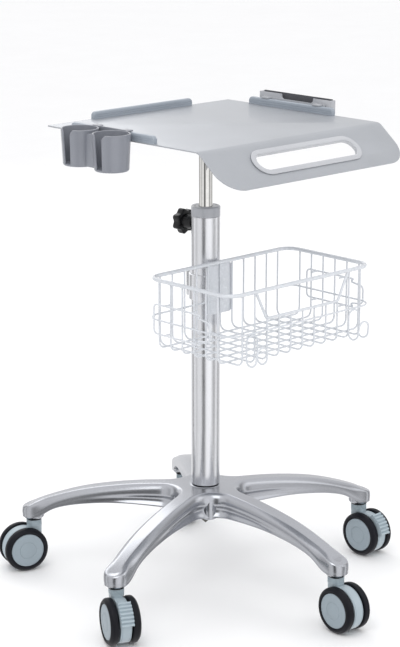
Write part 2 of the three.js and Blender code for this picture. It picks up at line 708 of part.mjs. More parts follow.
// Full-height opening in a cup wall, wide at the rim and narrow at the floor.
function cupSlot(y) {
  const floor = CUP_TOP - CUP_HEIGHT + 3;
  const shape = new THREE.Shape();
  shape.moveTo(-4.5, floor);
  shape.lineTo(4.5, floor);
  shape.lineTo(6.5, CUP_TOP - 8);
  shape.quadraticCurveTo(7.5, CUP_TOP, 12, CUP_TOP + 2);
  shape.lineTo(-12, CUP_TOP + 2);
  shape.quadraticCurveTo(-7.5, CUP_TOP, -6.5, CUP_TOP - 8);
  shape.closePath();
  const cutter = prism(shape, 8, 45, 4).rotateX(Math.PI / 2).rotateZ(Math.PI / 2);
  return cutter.rotateZ(THREE.MathUtils.degToRad(CUP_SLOT_ANGLE)).translate(CUP_X, y, 0);
}

function cupHolder() {
  const places = [-CUP_SPACING / 2, CUP_SPACING / 2];
  const web = box(CUP_X + 6, CUP_X + 14, -14, 14, CUP_TOP - CUP_HEIGHT + 4, CUP_TOP - 5);
  const clip = railClip(46, CUP_TOP - CUP_HEIGHT + 6);
  const bridge = places.map((y) => box(CUP_X + 22, -201, y - 9, y + 9, CUP_TOP - CUP_HEIGHT + 6, CUP_TOP - 3));
  const body = join(...places.map(cupOutside), web, ...bridge, ...clip);
  return cut(body, ...places.map(cupInside), ...places.map(cupSlot));
}

function sidePocket() {
  const shell = box(POCKET_INNER_X, POCKET_OUTER_X, -POCKET_HALF_LENGTH, POCKET_HALF_LENGTH,
    POCKET_BOTTOM, POCKET_TOP);
  const room = box(POCKET_INNER_X + POCKET_WALL, POCKET_OUTER_X - POCKET_WALL,
    -POCKET_HALF_LENGTH + POCKET_WALL, POCKET_HALF_LENGTH - POCKET_WALL,
    POCKET_BOTTOM + POCKET_WALL, POCKET_TOP + 5);
  const scoop = prism(roundedRectangle(-42, 30, POCKET_TOP - 8, POCKET_TOP + 20, 6), -2, 6, 4)
    .rotateX(Math.PI / 2).rotateZ(Math.PI / 2).translate(POCKET_INNER_X - 1, 0, 0);
  const clip = railClip(70, POCKET_BOTTOM + 8).map((piece) => piece.rotateZ(Math.PI));
  return cut(join(shell, ...clip), room, scoop);
}

function pocketLiner() {
  const x = POCKET_OUTER_X - POCKET_WALL - GAP;
  return box(x - 2.2, x, -POCKET_HALF_LENGTH + 3, POCKET_HALF_LENGTH - 3,
    POCKET_BOTTOM + POCKET_WALL + GAP, POCKET_TOP + 1.6);
}

// Basket: five flat grilles with square bars

// Bar centres along one direction, evenly pitched about the middle.
function bars(count, pitch) {
  return Array.from({ length: count }, (_, index) => (index - (count - 1) / 2) * pitch);
}

// Flat grille in (u, v): uprights over the full height and thinner level bars let into them.
function grille(halfWidth, low, high, uprights, levels) {
  const half = WIRE / 2;
  const thin = LEVEL_WIRE / 2;
  const ends = [-halfWidth + half, halfWidth - half];
  const reach = halfWidth - half;
  const uprightBars = [...ends, ...uprights].map((u) => box(u - half, u + half, low, high, -half, half));
  const levelBars = levels.map((v) => box(-reach, reach, v - thin, v + thin, -thin, thin));
  return [...uprightBars, ...levelBars];
}

const BASKET_TOP = BASKET_RIM + RIM_WIRE / 2;
const FRONT_BARS = bars(FRONT_WIRES, FRONT_PITCH);
const SIDE_BARS = bars(SIDE_WIRES, SIDE_PITCH);
const WALL_LEVELS = [BASKET_BOTTOM + WIRE / 2, BASKET_MID];

function wallGrille(halfWidth, uprights) {
  const reach = halfWidth + GAP;
  const rim = box(-reach, reach, BASKET_TOP - RIM_WIRE, BASKET_TOP, -RIM_HALF_DEPTH, RIM_HALF_DEPTH);
  const underTop = BASKET_TOP - RIM_WIRE / 2;
  return join(...grille(halfWidth, BASKET_BOTTOM, underTop, uprights, WALL_LEVELS), rim);
}

function standingPanel(geometry, y) {
  return geometry.rotateX(Math.PI / 2).translate(0, y, 0);
}

// Front wall: in the middle the uprights end at a wire that dips below the rim.
function basketFront() {
  const outside = DIP_TOP_HALF;
  const inside = 3 * FRONT_PITCH;
  const low = DIP_HEIGHT - WIRE;
  const slant = 3.7;
  const high = BASKET_TOP - 0.4;
  const foot = BASKET_TOP - RIM_WIRE + 0.4;
  const dip = [
    [-outside - slant, high], [-outside - slant, foot], [-outside - slant + 3.2, foot],
    [-inside - 1, low], [inside + 1, low], [outside + slant - 3.2, foot], [outside + slant, foot],
    [outside + slant, high], [outside, high], [inside, DIP_HEIGHT], [-inside, DIP_HEIGHT],
    [-outside, high],
  ];
  const dipShape = new THREE.Shape(dip.map(([u, v]) => new THREE.Vector2(u, v)));
  const tall = FRONT_BARS.filter((u) => Math.abs(u) > inside + 1);
  const short = FRONT_BARS.filter((u) => Math.abs(u) < inside + 1);
  const half = WIRE / 2;
  const stubs = short.map((u) => box(u - half, u + half, BASKET_BOTTOM, DIP_HEIGHT - half, -half, half));
  const wall = join(wallGrille(BASKET_HALF_WIDTH + half, tall), ...stubs);
  return standingPanel(join(wall, prism(dipShape, -DIP_HALF_DEPTH, DIP_HALF_DEPTH)), BASKET_FRONT);
}

function basketBack() {
  return standingPanel(wallGrille(BASKET_HALF_WIDTH + WIRE / 2, FRONT_BARS), BASKET_BACK);
}

function basketSide(side) {
  const half = BASKET_DEPTH / 2 - RIM_HALF_DEPTH - 2 * GAP;
  return standingPanel(wallGrille(half, SIDE_BARS), 0).rotateZ(Math.PI / 2)
    .translate(side * BASKET_HALF_WIDTH, (BASKET_FRONT + BASKET_BACK) / 2, 0);
}

function basketFloor() {
  const halfWidth = BASKET_HALF_WIDTH - WIRE / 2 - GAP;
  const halfDepth = BASKET_DEPTH / 2 - WIRE / 2 - GAP;
  const rows = [-halfDepth + WIRE / 2, 0, halfDepth - WIRE / 2];
  return join(...grille(halfWidth, -halfDepth, halfDepth, bars(FLOOR_WIRES, FLOOR_PITCH), rows))
    .translate(0, (BASKET_FRONT + BASKET_BACK) / 2, BASKET_BOTTOM + WIRE / 2);
}

function wireAlong(points, steps) {
  const path = new THREE.CatmullRomCurve3(points, false, 'catmullrom', 0.5);
  const section = new THREE.Shape(Array.from({ length: 6 }, (_, index) => polar(WIRE / 2, index * 60)));
  return new THREE.ExtrudeGeometry(section, { steps, bevelEnabled: false, extrudePath: path });
}

// Double-wire hook: a long loop bent forward and up at its foot, its ends meeting at the top.
function basketHook(side) {
  const x = side * HOOK_OFFSET;
  const back = BASKET_FRONT - WIRE - GAP;
  const half = 11.5;
  const top = 480;
  const foot = 436;
  const side3 = (sign) => [
    new THREE.Vector3(x + sign * 5, back, top - 0.5),
    new THREE.Vector3(x + sign * half, back, top - 10),
    new THREE.Vector3(x + sign * half, back, foot + 12),
    new THREE.Vector3(x + sign * half, back - 9, foot + 1),
    new THREE.Vector3(x + sign * half, back - 20, foot + 12),
    new THREE.Vector3(x + sign * half, back - 21, foot + 22),
    new THREE.Vector3(x + sign * 6, back - 21.5, foot + 30),
  ];
  const start = new THREE.Vector3(x - 0.25, back, top);
  const tip = new THREE.Vector3(x, back - 21.5, foot + 31.5);
  const end = new THREE.Vector3(x + 0.25, back, top);
  return wireAlong([start, ...side3(-1), tip, ...side3(1).reverse(), end], 30);
}

// Rectangular wire frame held off a side wall by four short legs.
function basketSideFrame(side) {
  const halfLength = 62;
  const [z0, z1] = [465, 515];
  const x = BASKET_HALF_WIDTH + FRAME_STANDOFF;
  const loop = cut(
    box(x - WIRE / 2, x + WIRE / 2, -halfLength, halfLength, z0, z1),
    box(x - WIRE, x + WIRE, -halfLength + WIRE, halfLength - WIRE, z0 + WIRE, z1 - WIRE),
  );
  const legs = [-1, 1].flatMap((end) => [z0, z1 - WIRE].map((z) => {
    const y = end * (halfLength - 24);
    return box(BASKET_HALF_WIDTH + WIRE / 2 + GAP, x, y - WIRE / 2, y + WIRE / 2, z, z + WIRE);
  }));
  return join(loop, ...legs).rotateZ(side > 0 ? 0 : Math.PI)
    .translate(0, (BASKET_FRONT + BASKET_BACK) / 2, 0);
}

function basketPlate() {
  const back = BASKET_BACK + RIM_HALF_DEPTH + GAP;
  const shape = roundedRectangle(-27, 27, 462, 543, 5);
  return prism(shape, 0, 3, 3).rotateX(Math.PI / 2).translate(0, back + 3, 0);
}

// Split clamp round the column with a flat pad towards the basket plate.
function basketClamp() {
  const [z0, z1] = [482, 524];
  const padFront = BASKET_BACK + RIM_HALF_DEPTH + 3 + 2 * GAP;
  const pad = box(-19, 19, padFront, -12, z0, z1);
  const ears = box(-9, 9, 24, 36, z0, z1);
  const body = join(rod(COLUMN_RADIUS + 4, z0, z1, 40), pad, ears);
  const split = box(-1.5, 1.5, 10, 40, z0 - 1, z1 + 1);
  return cut(body, rod(COLUMN_RADIUS + GAP, z0 - 1, z1 + 1, 48), split);
}

// Assembly

function addBase() {
  addPart('star_base', starBase(), CAST);
  addPart('hub_washer', hubWasher(), STEEL);
  addPart('hub_bolt', hubBolt(), STEEL);
  const trailAngles = {
    caster_front: 265, caster_right: 270, caster_back: 226, caster_rear_left: 160, caster_left: 245,
  };
  const braked = ['caster_right', 'caster_left'];
  Object.entries(trailAngles).forEach(([label, trailAngle], index) => {
    addCaster(label, index * LEG_STEP - 90, trailAngle, braked.includes(label));
  });
}

function addColumn() {
  addPart('column_spigot', columnSpigot(), STEEL);
  addPart('outer_column', outerColumn(), SILVER);
  addPart('guide_bush', guideBush(), NYLON);
  addPart('column_collar', columnCollar(), PALE_GREY);
  const [left, right] = collarScrewPlaces();
  addPart('collar_screw_left', collarScrew(left, 0), STEEL);
  addPart('collar_screw_right', collarScrew(right, 0), STEEL);
  addPart('clamp_knob', clampKnob(), BLACK);
  addPart('knob_stud', knobStud(), STEEL);
  addPart('glide_ring', glideRing(), NYLON);
  addPart('inner_tube', innerTube(), CHROME);
  addPart('mast_flange', mastFlange(), STEEL);
}

function addTray() {
  addPart('tray', tray(), TRAY_SILVER);
  addPart('handle_bezel', handleBezel(), PALE_GREY);
  addPart('rear_rail', rearRail(), CASTER_GREY);
  addPart('left_rail', sideRail(-1), CASTER_GREY);
  addPart('right_rail', sideRail(1), CASTER_GREY);
  addPart('cup_holder', cupHolder(), CUP_GREY);
  addPart('side_pocket', sidePocket(), PALE_GREY);
  addPart('pocket_liner', pocketLiner(), DARK_FOAM);
}

function addBasket() {
  addPart('basket_front', basketFront(), WHITE_WIRE);
  addPart('basket_back', basketBack(), WHITE_WIRE);
  addPart('basket_left', basketSide(-1), WHITE_WIRE);
  addPart('basket_right', basketSide(1), WHITE_WIRE);
  addPart('basket_floor', basketFloor(), WHITE_WIRE);
  addPart('basket_hook_left', basketHook(-1), WHITE_WIRE);
  addPart('basket_hook_right', basketHook(1), WHITE_WIRE);
  addPart('basket_frame_left', basketSideFrame(-1), WHITE_WIRE);
  addPart('basket_frame_right', basketSideFrame(1), WHITE_WIRE);
  addPart('basket_plate', basketPlate(), PALE_GREY);
  addPart('basket_clamp', basketClamp(), SILVER);
}

addBase();
addColumn();
addTray();
addBasket();

const bounds = new THREE.Box3().setFromObject(trolley, true);
const middle = bounds.getCenter(new THREE.Vector3());
trolley.position.set(-middle.x, -middle.y, -bounds.min.z);

export default trolley;
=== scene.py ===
# Looks of a rolling laboratory trolley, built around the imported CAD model. Shapes are worked out in
# millimetres about the column axis with the floor at z = 0, and scaled to metres when a mesh is made.
import math

import bmesh
import bpy
from mathutils import Matrix, Vector
from mathutils.geometry import tessellate_polygon


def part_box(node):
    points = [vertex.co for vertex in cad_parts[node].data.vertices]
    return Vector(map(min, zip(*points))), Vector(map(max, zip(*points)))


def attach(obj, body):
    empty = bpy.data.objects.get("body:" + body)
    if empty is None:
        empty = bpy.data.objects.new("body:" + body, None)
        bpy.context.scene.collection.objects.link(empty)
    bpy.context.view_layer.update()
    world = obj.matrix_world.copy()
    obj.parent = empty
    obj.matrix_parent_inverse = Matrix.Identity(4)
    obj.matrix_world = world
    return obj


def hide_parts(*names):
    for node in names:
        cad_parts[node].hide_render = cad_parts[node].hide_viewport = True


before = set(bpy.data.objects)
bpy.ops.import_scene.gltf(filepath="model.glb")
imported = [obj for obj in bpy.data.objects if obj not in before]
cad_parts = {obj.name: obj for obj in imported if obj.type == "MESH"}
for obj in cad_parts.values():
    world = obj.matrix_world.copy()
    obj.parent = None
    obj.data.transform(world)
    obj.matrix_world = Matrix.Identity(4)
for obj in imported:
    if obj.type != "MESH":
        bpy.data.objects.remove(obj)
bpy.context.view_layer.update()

MM = 0.001
column_low, column_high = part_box("outer_column")
AXIS = Vector(((column_low.x + column_high.x) / 2, (column_low.y + column_high.y) / 2, 0))


def limits(node):
    """x0, x1, y0, y1, z0, z1 of a CAD node, in millimetres about the column axis."""
    low, high = (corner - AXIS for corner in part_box(node))
    return [value / MM for pair in zip(low, high) for value in pair]


# Camera, light and floor

CAMERA_PLACE = Vector((-2.2808, -2.3576, 1.2951)) + AXIS
CAMERA_HEADING = math.radians(43.891)
CAMERA_TILT = math.radians(14.633)
LIGHT_TARGET = AXIS + Vector((0, 0, 0.42))
# Grey of the studio walls, as (share of the way round, grey).
WALL_BANDS = [
    (0.00, 0.75), (0.035, 0.8), (0.065, 0.10), (0.105, 0.12), (0.14, 0.95), (0.25, 1.0),
    (0.30, 0.45), (0.34, 0.35), (0.38, 0.95), (0.46, 0.30), (0.52, 0.80), (0.62, 0.70),
    (0.72, 0.85), (0.80, 0.25), (0.85, 0.9), (0.91, 0.5), (0.95, 0.75),
]
# Heights of a direction, up or down, between which the bands fade into the plain ends.
WALL_FADE = (0.4, 0.85)
WALL_END = (0.85, 0.85, 0.86, 1)
BACKDROP = (0.74, 0.74, 0.745, 1)
WORLD_STRENGTH = 1.3
FLOOR_HALF_SIZE = 40


def add_camera():
    """Long lens from the front left, looking down a little."""
    data = bpy.data.cameras.new("camera")
    data.sensor_fit = "HORIZONTAL"
    data.sensor_width = 36
    data.lens = 187.5
    data.clip_end = 100
    camera = bpy.data.objects.new("camera", data)
    camera.location = CAMERA_PLACE
    camera.rotation_euler = (math.pi / 2 - CAMERA_TILT, 0, -CAMERA_HEADING)
    bpy.context.scene.collection.objects.link(camera)
    bpy.context.scene.camera = camera


def add_softbox(name, azimuth, elevation, distance, size, energy):
    """Area light aimed at the middle of the trolley; the azimuth is seen from the trolley."""
    heading, rise = math.radians(azimuth), math.radians(elevation)
    direction = Vector((
        math.cos(rise) * math.cos(heading), math.cos(rise) * math.sin(heading), math.sin(rise)))
    data = bpy.data.lights.new(name, "AREA")
    data.shape = "RECTANGLE"
    data.size, data.size_y = size
    data.energy = energy
    light = bpy.data.objects.new(name, data)
    light.location = LIGHT_TARGET + direction * distance
    light.rotation_euler = (-direction).to_track_quat("-Z", "Y").to_euler()
    bpy.context.scene.collection.objects.link(light)


def add_world():
    """Studio walls with grey bands for the metal to mirror, plain above and below them. What the
    camera itself sees behind the trolley is one plain tone."""
    world = bpy.data.worlds.new("studio")
    world.use_nodes = True
    nodes, links = world.node_tree.nodes, world.node_tree.links
    background = nodes["Background"]
    coordinates = nodes.new("ShaderNodeTexCoord")
    split = nodes.new("ShaderNodeSeparateXYZ")
    turn = nodes.new("ShaderNodeMath")
    turn.operation = "ARCTAN2"
    share = nodes.new("ShaderNodeMapRange")
    share.inputs["From Min"].default_value = -math.pi
    share.inputs["From Max"].default_value = math.pi
    ramp = nodes.new("ShaderNodeValToRGB")
    ramp.color_ramp.interpolation = "EASE"
    stops = ramp.color_ramp.elements
    while len(stops) < len(WALL_BANDS):
        stops.new(0.5)
    for stop, (place, grey) in zip(stops, WALL_BANDS):
        stop.position = place
        stop.color = (grey, grey, grey * 1.01, 1)
    rise = nodes.new("ShaderNodeMath")
    rise.operation = "ABSOLUTE"
    fade = nodes.new("ShaderNodeMapRange")
    fade.inputs["From Min"].default_value, fade.inputs["From Max"].default_value = WALL_FADE
    blend = nodes.new("ShaderNodeMix")
    blend.data_type = "RGBA"
    blend.inputs["B"].default_value = WALL_END
    background.inputs["Strength"].default_value = WORLD_STRENGTH
    links.new(split.outputs["Z"], rise.inputs[0])
    links.new(rise.outputs[0], fade.inputs["Value"])
    links.new(fade.outputs[0], blend.inputs["Factor"])
    links.new(coordinates.outputs["Generated"], split.inputs[0])
    links.new(split.outputs["Y"], turn.inputs[0])
    links.new(split.outputs["X"], turn.inputs[1])
    links.new(turn.outputs[0], share.inputs["Value"])
    links.new(share.outputs[0], ramp.inputs[0])
    links.new(ramp.outputs["Color"], blend.inputs["A"])
    path = nodes.new("ShaderNodeLightPath")
    plain = nodes.new("ShaderNodeMix")
    plain.data_type = "RGBA"
    plain.inputs["B"].default_value = BACKDROP
    links.new(path.outputs["Is Camera Ray"], plain.inputs["Factor"])
    links.new(blend.outputs["Result"], plain.inputs["A"])
    links.new(plain.outputs["Result"], background.inputs["Color"])
    bpy.context.scene.world = world


def add_floor():
    """Pale matt floor, left out of reflections so that the metal mirrors only the walls."""
    half = FLOOR_HALF_SIZE
    mesh = bpy.data.meshes.new("floor")
    corners = [(-half, -half, 0), (half, -half, 0), (half, half, 0), (-half, half, 0)]
    mesh.from_pydata(corners, [], [(0, 1, 2, 3)])
    floor = bpy.data.objects.new("floor", mesh)
    bpy.context.scene.collection.objects.link(floor)
    mesh.materials.append(finish("floor_paint", "fafafa", "fcfcfc", 0.9, grain=3, bump=0))
    floor.visible_glossy = False


# Materials

def linear(hex_colour):
    """Linear RGBA of an sRGB colour written as six hexadecimal digits."""
    channels = [int(hex_colour[start:start + 2], 16) / 255 for start in (0, 2, 4)]
    return [c / 12.92 if c < 0.04045 else ((c + 0.055) / 1.055) ** 2.4 for c in channels] + [1]


def finish(name, dark, light, roughness, metallic=0.0, grain=600.0, stretch=(1, 1, 1), bump=0.1,
           coat=0.0, specular=0.5, sheen=0.0, cloud=9.0, depth=0.00012):
    """Procedural surface: colour drifts between two tones with the grain and with broad clouds, and
    the roughness and a fine bump follow the same noises."""
    material = bpy.data.materials.new(name)
    material.use_nodes = True
    nodes, links = material.node_tree.nodes, material.node_tree.links
    shader = nodes["Principled BSDF"]
    shader.inputs["Metallic"].default_value = metallic
    shader.inputs["Coat Weight"].default_value = coat
    shader.inputs["Coat Roughness"].default_value = 0.08
    shader.inputs["Specular IOR Level"].default_value = specular
    shader.inputs["Sheen Weight"].default_value = sheen
    coordinates = nodes.new("ShaderNodeTexCoord")
    mapping = nodes.new("ShaderNodeMapping")
    mapping.inputs["Scale"].default_value = stretch
    links.new(coordinates.outputs["Object"], mapping.inputs["Vector"])
    noises = []
    for source, scale in ((mapping.outputs["Vector"], grain), (coordinates.outputs["Object"], cloud)):
        noise = nodes.new("ShaderNodeTexNoise")
        noise.inputs["Scale"].default_value = scale
        noise.inputs["Detail"].default_value = 4
        links.new(source, noise.inputs["Vector"])
        noises.append(noise)
    fine, broad = noises
    blend = nodes.new("ShaderNodeMath")
    blend.operation = "MULTIPLY_ADD"
    blend.inputs[1].default_value = 0.5
    halve = nodes.new("ShaderNodeMath")
    halve.operation = "MULTIPLY"
    halve.inputs[1].default_value = 0.5
    links.new(broad.outputs["Fac"], halve.inputs[0])
    links.new(fine.outputs["Fac"], blend.inputs[0])
    links.new(halve.outputs[0], blend.inputs[2])
    ramp = nodes.new("ShaderNodeValToRGB")
    ramp.color_ramp.elements[0].position = 0.35
    ramp.color_ramp.elements[0].color = linear(dark)
    ramp.color_ramp.elements[1].position = 0.65
    ramp.color_ramp.elements[1].color = linear(light)
    links.new(blend.outputs[0], ramp.inputs[0])
    links.new(ramp.outputs["Color"], shader.inputs["Base Color"])
    spread = nodes.new("ShaderNodeMapRange")
    spread.inputs["From Min"].default_value = 0.3
    spread.inputs["From Max"].default_value = 0.7
    spread.inputs["To Min"].default_value = roughness * 0.85
    spread.inputs["To Max"].default_value = min(1, roughness * 1.15)
    links.new(blend.outputs[0], spread.inputs["Value"])
    links.new(spread.outputs[0], shader.inputs["Roughness"])
    if bump:
        relief = nodes.new("ShaderNodeBump")
        relief.inputs["Strength"].default_value = bump
        relief.inputs["Distance"].default_value = depth
        links.new(fine.outputs["Fac"], relief.inputs["Height"])
        links.new(relief.outputs["Normal"], shader.inputs["Normal"])
    return material


CAST = finish("cast_aluminium", "abadb2", "b3b5ba", 0.24, 1, grain=500, bump=0.006, cloud=6)
COLUMN = finish("satin_column", "d9dadd", "e2e3e6", 0.27, 1, 900, (1, 1, 0.03), 0.02)
CHROME = finish("chrome", "cfcecb", "dddcd9", 0.05, 1, grain=200, bump=0.01)
ZINC = finish("zinc_steel", "77797e", "8e9095", 0.34, 1, grain=700, bump=0.15, cloud=60)
STEEL = finish("oiled_steel", "4b4b47", "5d5d58", 0.42, 1, grain=700, bump=0.15, cloud=60)
TRAY_COAT = finish("tray_coat", "a3a6ab", "b0b3b8", 0.42, 0.35, grain=2600, bump=0.18, coat=0.12)
RAIL_GREY = finish("rail_grey", "939ba5", "a1a9b2", 0.4, grain=1500, bump=0.1)
PALE = finish("pale_plastic", "a3a5aa", "b0b2b7", 0.3, grain=1800, bump=0.06, coat=0.35)
BEZEL = finish("bezel_plastic", "b1b3b8", "bcbec2", 0.22, grain=1800, bump=0.04, coat=0.5)
POCKET = finish("pocket_plastic", "aaacb1", "b6b8bc", 0.36, grain=1800, bump=0.1)
CASTER = finish("caster_plastic", "9fadb5", "adbac1", 0.36, grain=1600, bump=0.1, coat=0.1)
DISC = finish("hub_disc_plastic", "8e9ba3", "9aa6ae", 0.4, grain=1600, bump=0.1)
TYRE = finish("tyre_rubber", "0b0c12", "15161e", 0.5, grain=1200, bump=0.2, specular=0.2)
BLACK = finish("black_plastic", "0b0b0d", "131316", 0.36, grain=1500, bump=0.2, specular=0.35)
CUP = finish("cup_plastic", "7c7f87", "888b93", 0.34, grain=1800, bump=0.08, coat=0.2)
WIRE_COAT = finish("white_epoxy", "ced2d7", "d9dce1", 0.26, grain=260, bump=0.03, coat=0.35)
NYLON = finish("nylon", "c8c8c6", "d4d4d2", 0.5, grain=900, bump=0.1)
# Dark felt-like sheet for the pocket liner: its dark colour is painted shade for the shaded inside of the
# side pocket.
POCKET_SHADE_FELT = finish("felt_painted_pocket_shade", "3a3b41", "4b4c53", 0.95, grain=2200, bump=0.9, sheen=0.3, depth=0.0004)

bpy.context.scene.view_settings.view_transform = "Standard"
add_camera()
add_world()
add_softbox("key_light", -150, 48, 3.2, (1.6, 2.2), 20)
add_softbox("fill_light", -60, 28, 3.4, (1.4, 2.4), 8)
add_softbox("rim_light", 70, 35, 3.0, (1.8, 1.6), 14)
add_floor()


# Mesh helpers: each gives (vertices, faces), in millimetres

def fillet(points, radius, closed=False, steps=5):
    """Path whose corners are arcs of a radius, or as large as fits."""
    points = [Vector(point) for point in points]
    rounded = []
    for index, corner in enumerate(points):
        before = points[index - 1] - corner
        after = points[(index + 1) % len(points)] - corner
        end_point = not closed and index in (0, len(points) - 1)
        if end_point or before.angle(after) > math.radians(177):
            rounded.append(corner)
            continue
        half = before.angle(after) / 2
        reach = min(radius / math.tan(half), before.length * 0.49, after.length * 0.49)
        before.normalize()
        after.normalize()
        centre = corner + (before + after).normalized() * (reach / math.cos(half))
        start, end = corner + before * reach - centre, corner + after * reach - centre
        sweep = math.pi - 2 * half
        for step in range(steps + 1):
            turn = sweep * step / steps
            rounded.append(
                centre + (start * math.sin(sweep - turn) + end * math.sin(turn)) / math.sin(sweep))
    return rounded


def skin(rings, closed_ends=True, closed_rows=False):
    """Faces between equal rings of points, with a fan over each end."""
    count = len(rings[0])
    vertices = [Vector(point) for ring in rings for point in ring]
    faces = []
    rows = len(rings) if closed_rows else len(rings) - 1
    for row in range(rows):
        start, following = row * count, (row + 1) % len(rings) * count
        for index in range(count):
            other = (index + 1) % count
            faces.append((start + index, start + other, following + other, following + index))
    if closed_ends and not closed_rows:
        for start in (0, (len(rings) - 1) * count):
            centre = sum((vertices[start + index] for index in range(count)), Vector((0, 0, 0))) / count
            vertices.append(centre)
            for index in range(count):
                faces.append((start + index, start + (index + 1) % count, len(vertices) - 1))
    return vertices, faces


def tube(path, radius, closed=False, sides=12, up=(0, 0, 1)):
    """Round wire along a path, with slightly domed ends."""
    path = [Vector(point) for point in path]
    count = len(path)
    normal = Vector(up)
    rings = []
    for index, point in enumerate(path):
        ahead = path[(index + 1) % count] if closed or index < count - 1 else point
        behind = path[index - 1] if closed or index > 0 else point
        tangent = (ahead - behind).normalized()
        normal = (normal - tangent * normal.dot(tangent)).normalized()
        side = tangent.cross(normal)
        angles = [2 * math.pi * step / sides for step in range(sides)]
        circle = [normal * math.cos(angle) + side * math.sin(angle) for angle in angles]
        if not closed and index == 0:
            rings.append([point + (v * 0.6 - tangent * 0.4) * radius for v in circle])
        rings.append([point + v * radius for v in circle])
        if not closed and index == count - 1:
            rings.append([point + (v * 0.6 + tangent * 0.4) * radius for v in circle])
    return skin(rings, closed_rows=closed)


def lathe(profile, segments=72):
    """Surface of revolution about Z from (radius, z) pairs, on the axis at both ends or closed."""
    closed = Vector(profile[0]) == Vector(profile[-1])
    profile = [Vector(point) for point in (profile[:-1] if closed else profile)]
    rings = []
    for radius, z in profile:
        radius = max(radius, 0.001)
        angles = [2 * math.pi * step / segments for step in range(segments)]
        rings.append([(radius * math.cos(angle), radius * math.sin(angle), z) for angle in angles])
    return skin(rings, closed_rows=closed)


def turned(profile, corner=0.6, segments=72, steps=3):
    """Lathe whose profile corners are softened; a closed profile repeats its first point."""
    closed = tuple(profile[0]) == tuple(profile[-1])
    points = fillet(profile[:-1] if closed else profile, corner, closed, steps)
    return lathe(points + [points[0]] if closed else points, segments)


def inset_loop(loop, distance):
    """Closed 2D loop moved to its left, into the material."""
    moved = []
    for index, point in enumerate(loop):
        before = (point - loop[index - 1]).normalized()
        after = (loop[(index + 1) % len(loop)] - point).normalized()
        left = Vector((-before.y - after.y, before.x + after.x)) / (1 + before.dot(after))
        moved.append(point + left * distance)
    return moved


def plate(outer, holes, low, high, bevel, steps=3):
    """Flat plate between two heights with rounded edges. The outline runs anticlockwise and the
    holes clockwise."""
    loops = [[Vector(point) for point in loop] for loop in (outer, *holes)]
    angles = [math.pi / 2 * step / steps for step in range(steps + 1)]
    levels = [(bevel * (1 - math.sin(a)), low + bevel * (1 - math.cos(a))) for a in angles]
    levels += [(inset, low + high - z) for inset, z in reversed(levels)]
    vertices, faces = [], []
    caps = []
    for loop in loops:
        start = len(vertices)
        for inset, z in levels:
            vertices += [Vector((p.x, p.y, z)) for p in inset_loop(loop, inset)]
        for row in range(len(levels) - 1):
            for index in range(len(loop)):
                other = (index + 1) % len(loop)
                a, b = start + row * len(loop) + index, start + row * len(loop) + other
                faces.append((a, b, b + len(loop), a + len(loop)))
        caps.append((start, start + (len(levels) - 1) * len(loop), len(loop)))
    for end in (0, 1):
        picked = [cap[end] + index for cap in caps for index in range(cap[2])]
        rims = [[vertices[cap[end] + index] for index in range(cap[2])] for cap in caps]
        for triangle in tessellate_polygon(rims):
            faces.append(tuple(picked[index] for index in triangle))
    return vertices, faces


def moved(part, matrix):
    """Part with its vertices taken through a matrix."""
    vertices, faces = part
    return [matrix @ Vector(vertex) for vertex in vertices], faces


def box_plate(x0, x1, y0, y1, z0, z1, corner, bevel):
    """Block with rounded upright corners and softened edges."""
    outline = fillet([(x0, y0), (x1, y0), (x1, y1), (x0, y1)], corner, True, 4)
    return plate(outline, [], z0, z1, bevel)


def add_piece(name, parts, material, body, replaced=(), angle=40, place=None):
    """One object of one or more closed shells, riding on a body and standing for CAD nodes."""
    vertices, faces = [], []
    for part_vertices, part_faces in parts:
        start = len(vertices)
        vertices += part_vertices
        faces += [tuple(start + index for index in face) for face in part_faces]
    place = place or Matrix.Identity(4)
    mesh = bpy.data.meshes.new(name)
    mesh.from_pydata([AXIS + (place @ Vector(vertex)) * MM for vertex in vertices], [], faces)
    clean = bmesh.new()
    clean.from_mesh(mesh)
    bmesh.ops.remove_doubles(clean, verts=clean.verts, dist=2e-6)
    bmesh.ops.recalc_face_normals(clean, faces=clean.faces)
    clean.to_mesh(mesh)
    clean.free()
    mesh.materials.append(material)
    mesh.shade_smooth()
    mesh.set_sharp_from_angle(angle=math.radians(angle))
    piece = bpy.data.objects.new(name, mesh)
    bpy.context.scene.collection.objects.link(piece)
    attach(piece, body)
    if replaced:
        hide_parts(*replaced)
    return piece


def refine_node(name, material, bevel):
    """Keeps a CAD node and gives it a material, welded corners and softened edges."""
    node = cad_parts[name]
    node.data.materials.clear()
    node.data.materials.append(material)
    node.data.shade_smooth()
    weld = node.modifiers.new("weld", "WELD")
    weld.merge_threshold = 1e-5
    if bevel:
        soften = node.modifiers.new("soften", "BEVEL")
        soften.width = bevel * MM
        soften.segments = 3
        soften.limit_method = "ANGLE"
        soften.angle_limit = math.radians(32)
        soften.harden_normals = True


# Five-leg base

LEG_COUNT = 5
LEG_STEP = math.radians(360 / LEG_COUNT)
LEG_HALF_WIDTH = 20.5
OUTLINE_HALF_WIDTH = 10.5
WEB_RADIUS = 43
STEM_X, STEM_Y = (sum(limits("caster_front_stem")[i:i + 2]) / 2 for i in (0, 2))
STEM_RING_RADIUS = math.hypot(STEM_X, STEM_Y)
# Heights at radii of the crown, of the shell's lower edge and of the skirt under it.
LEG_RADII = [20, 80, 120, 160, 200, 230, 260, 275, 290, 320]
LEG_CROWN = [166.2, 163.5, 160.3, 155, 147.8, 140, 130.2, 124.6, 118.2, 102]
LEG_EDGE = [146, 146, 144.3, 140.5, 134.7, 127.5, 116.5, 106, 98.5, 95]
LEG_SKIRT = [121, 124.8, 126.6, 126.3, 122.5, 117.5, 108.5, 97, 90.5, 89.5]
OUTLINE_STATIONS = (90, 110, 130, 150, 170, 190, 210, 228, 246, 262, 276, 287)
PILLAR_PLACE = 46.3
PILLAR_RADIUS = 12.5


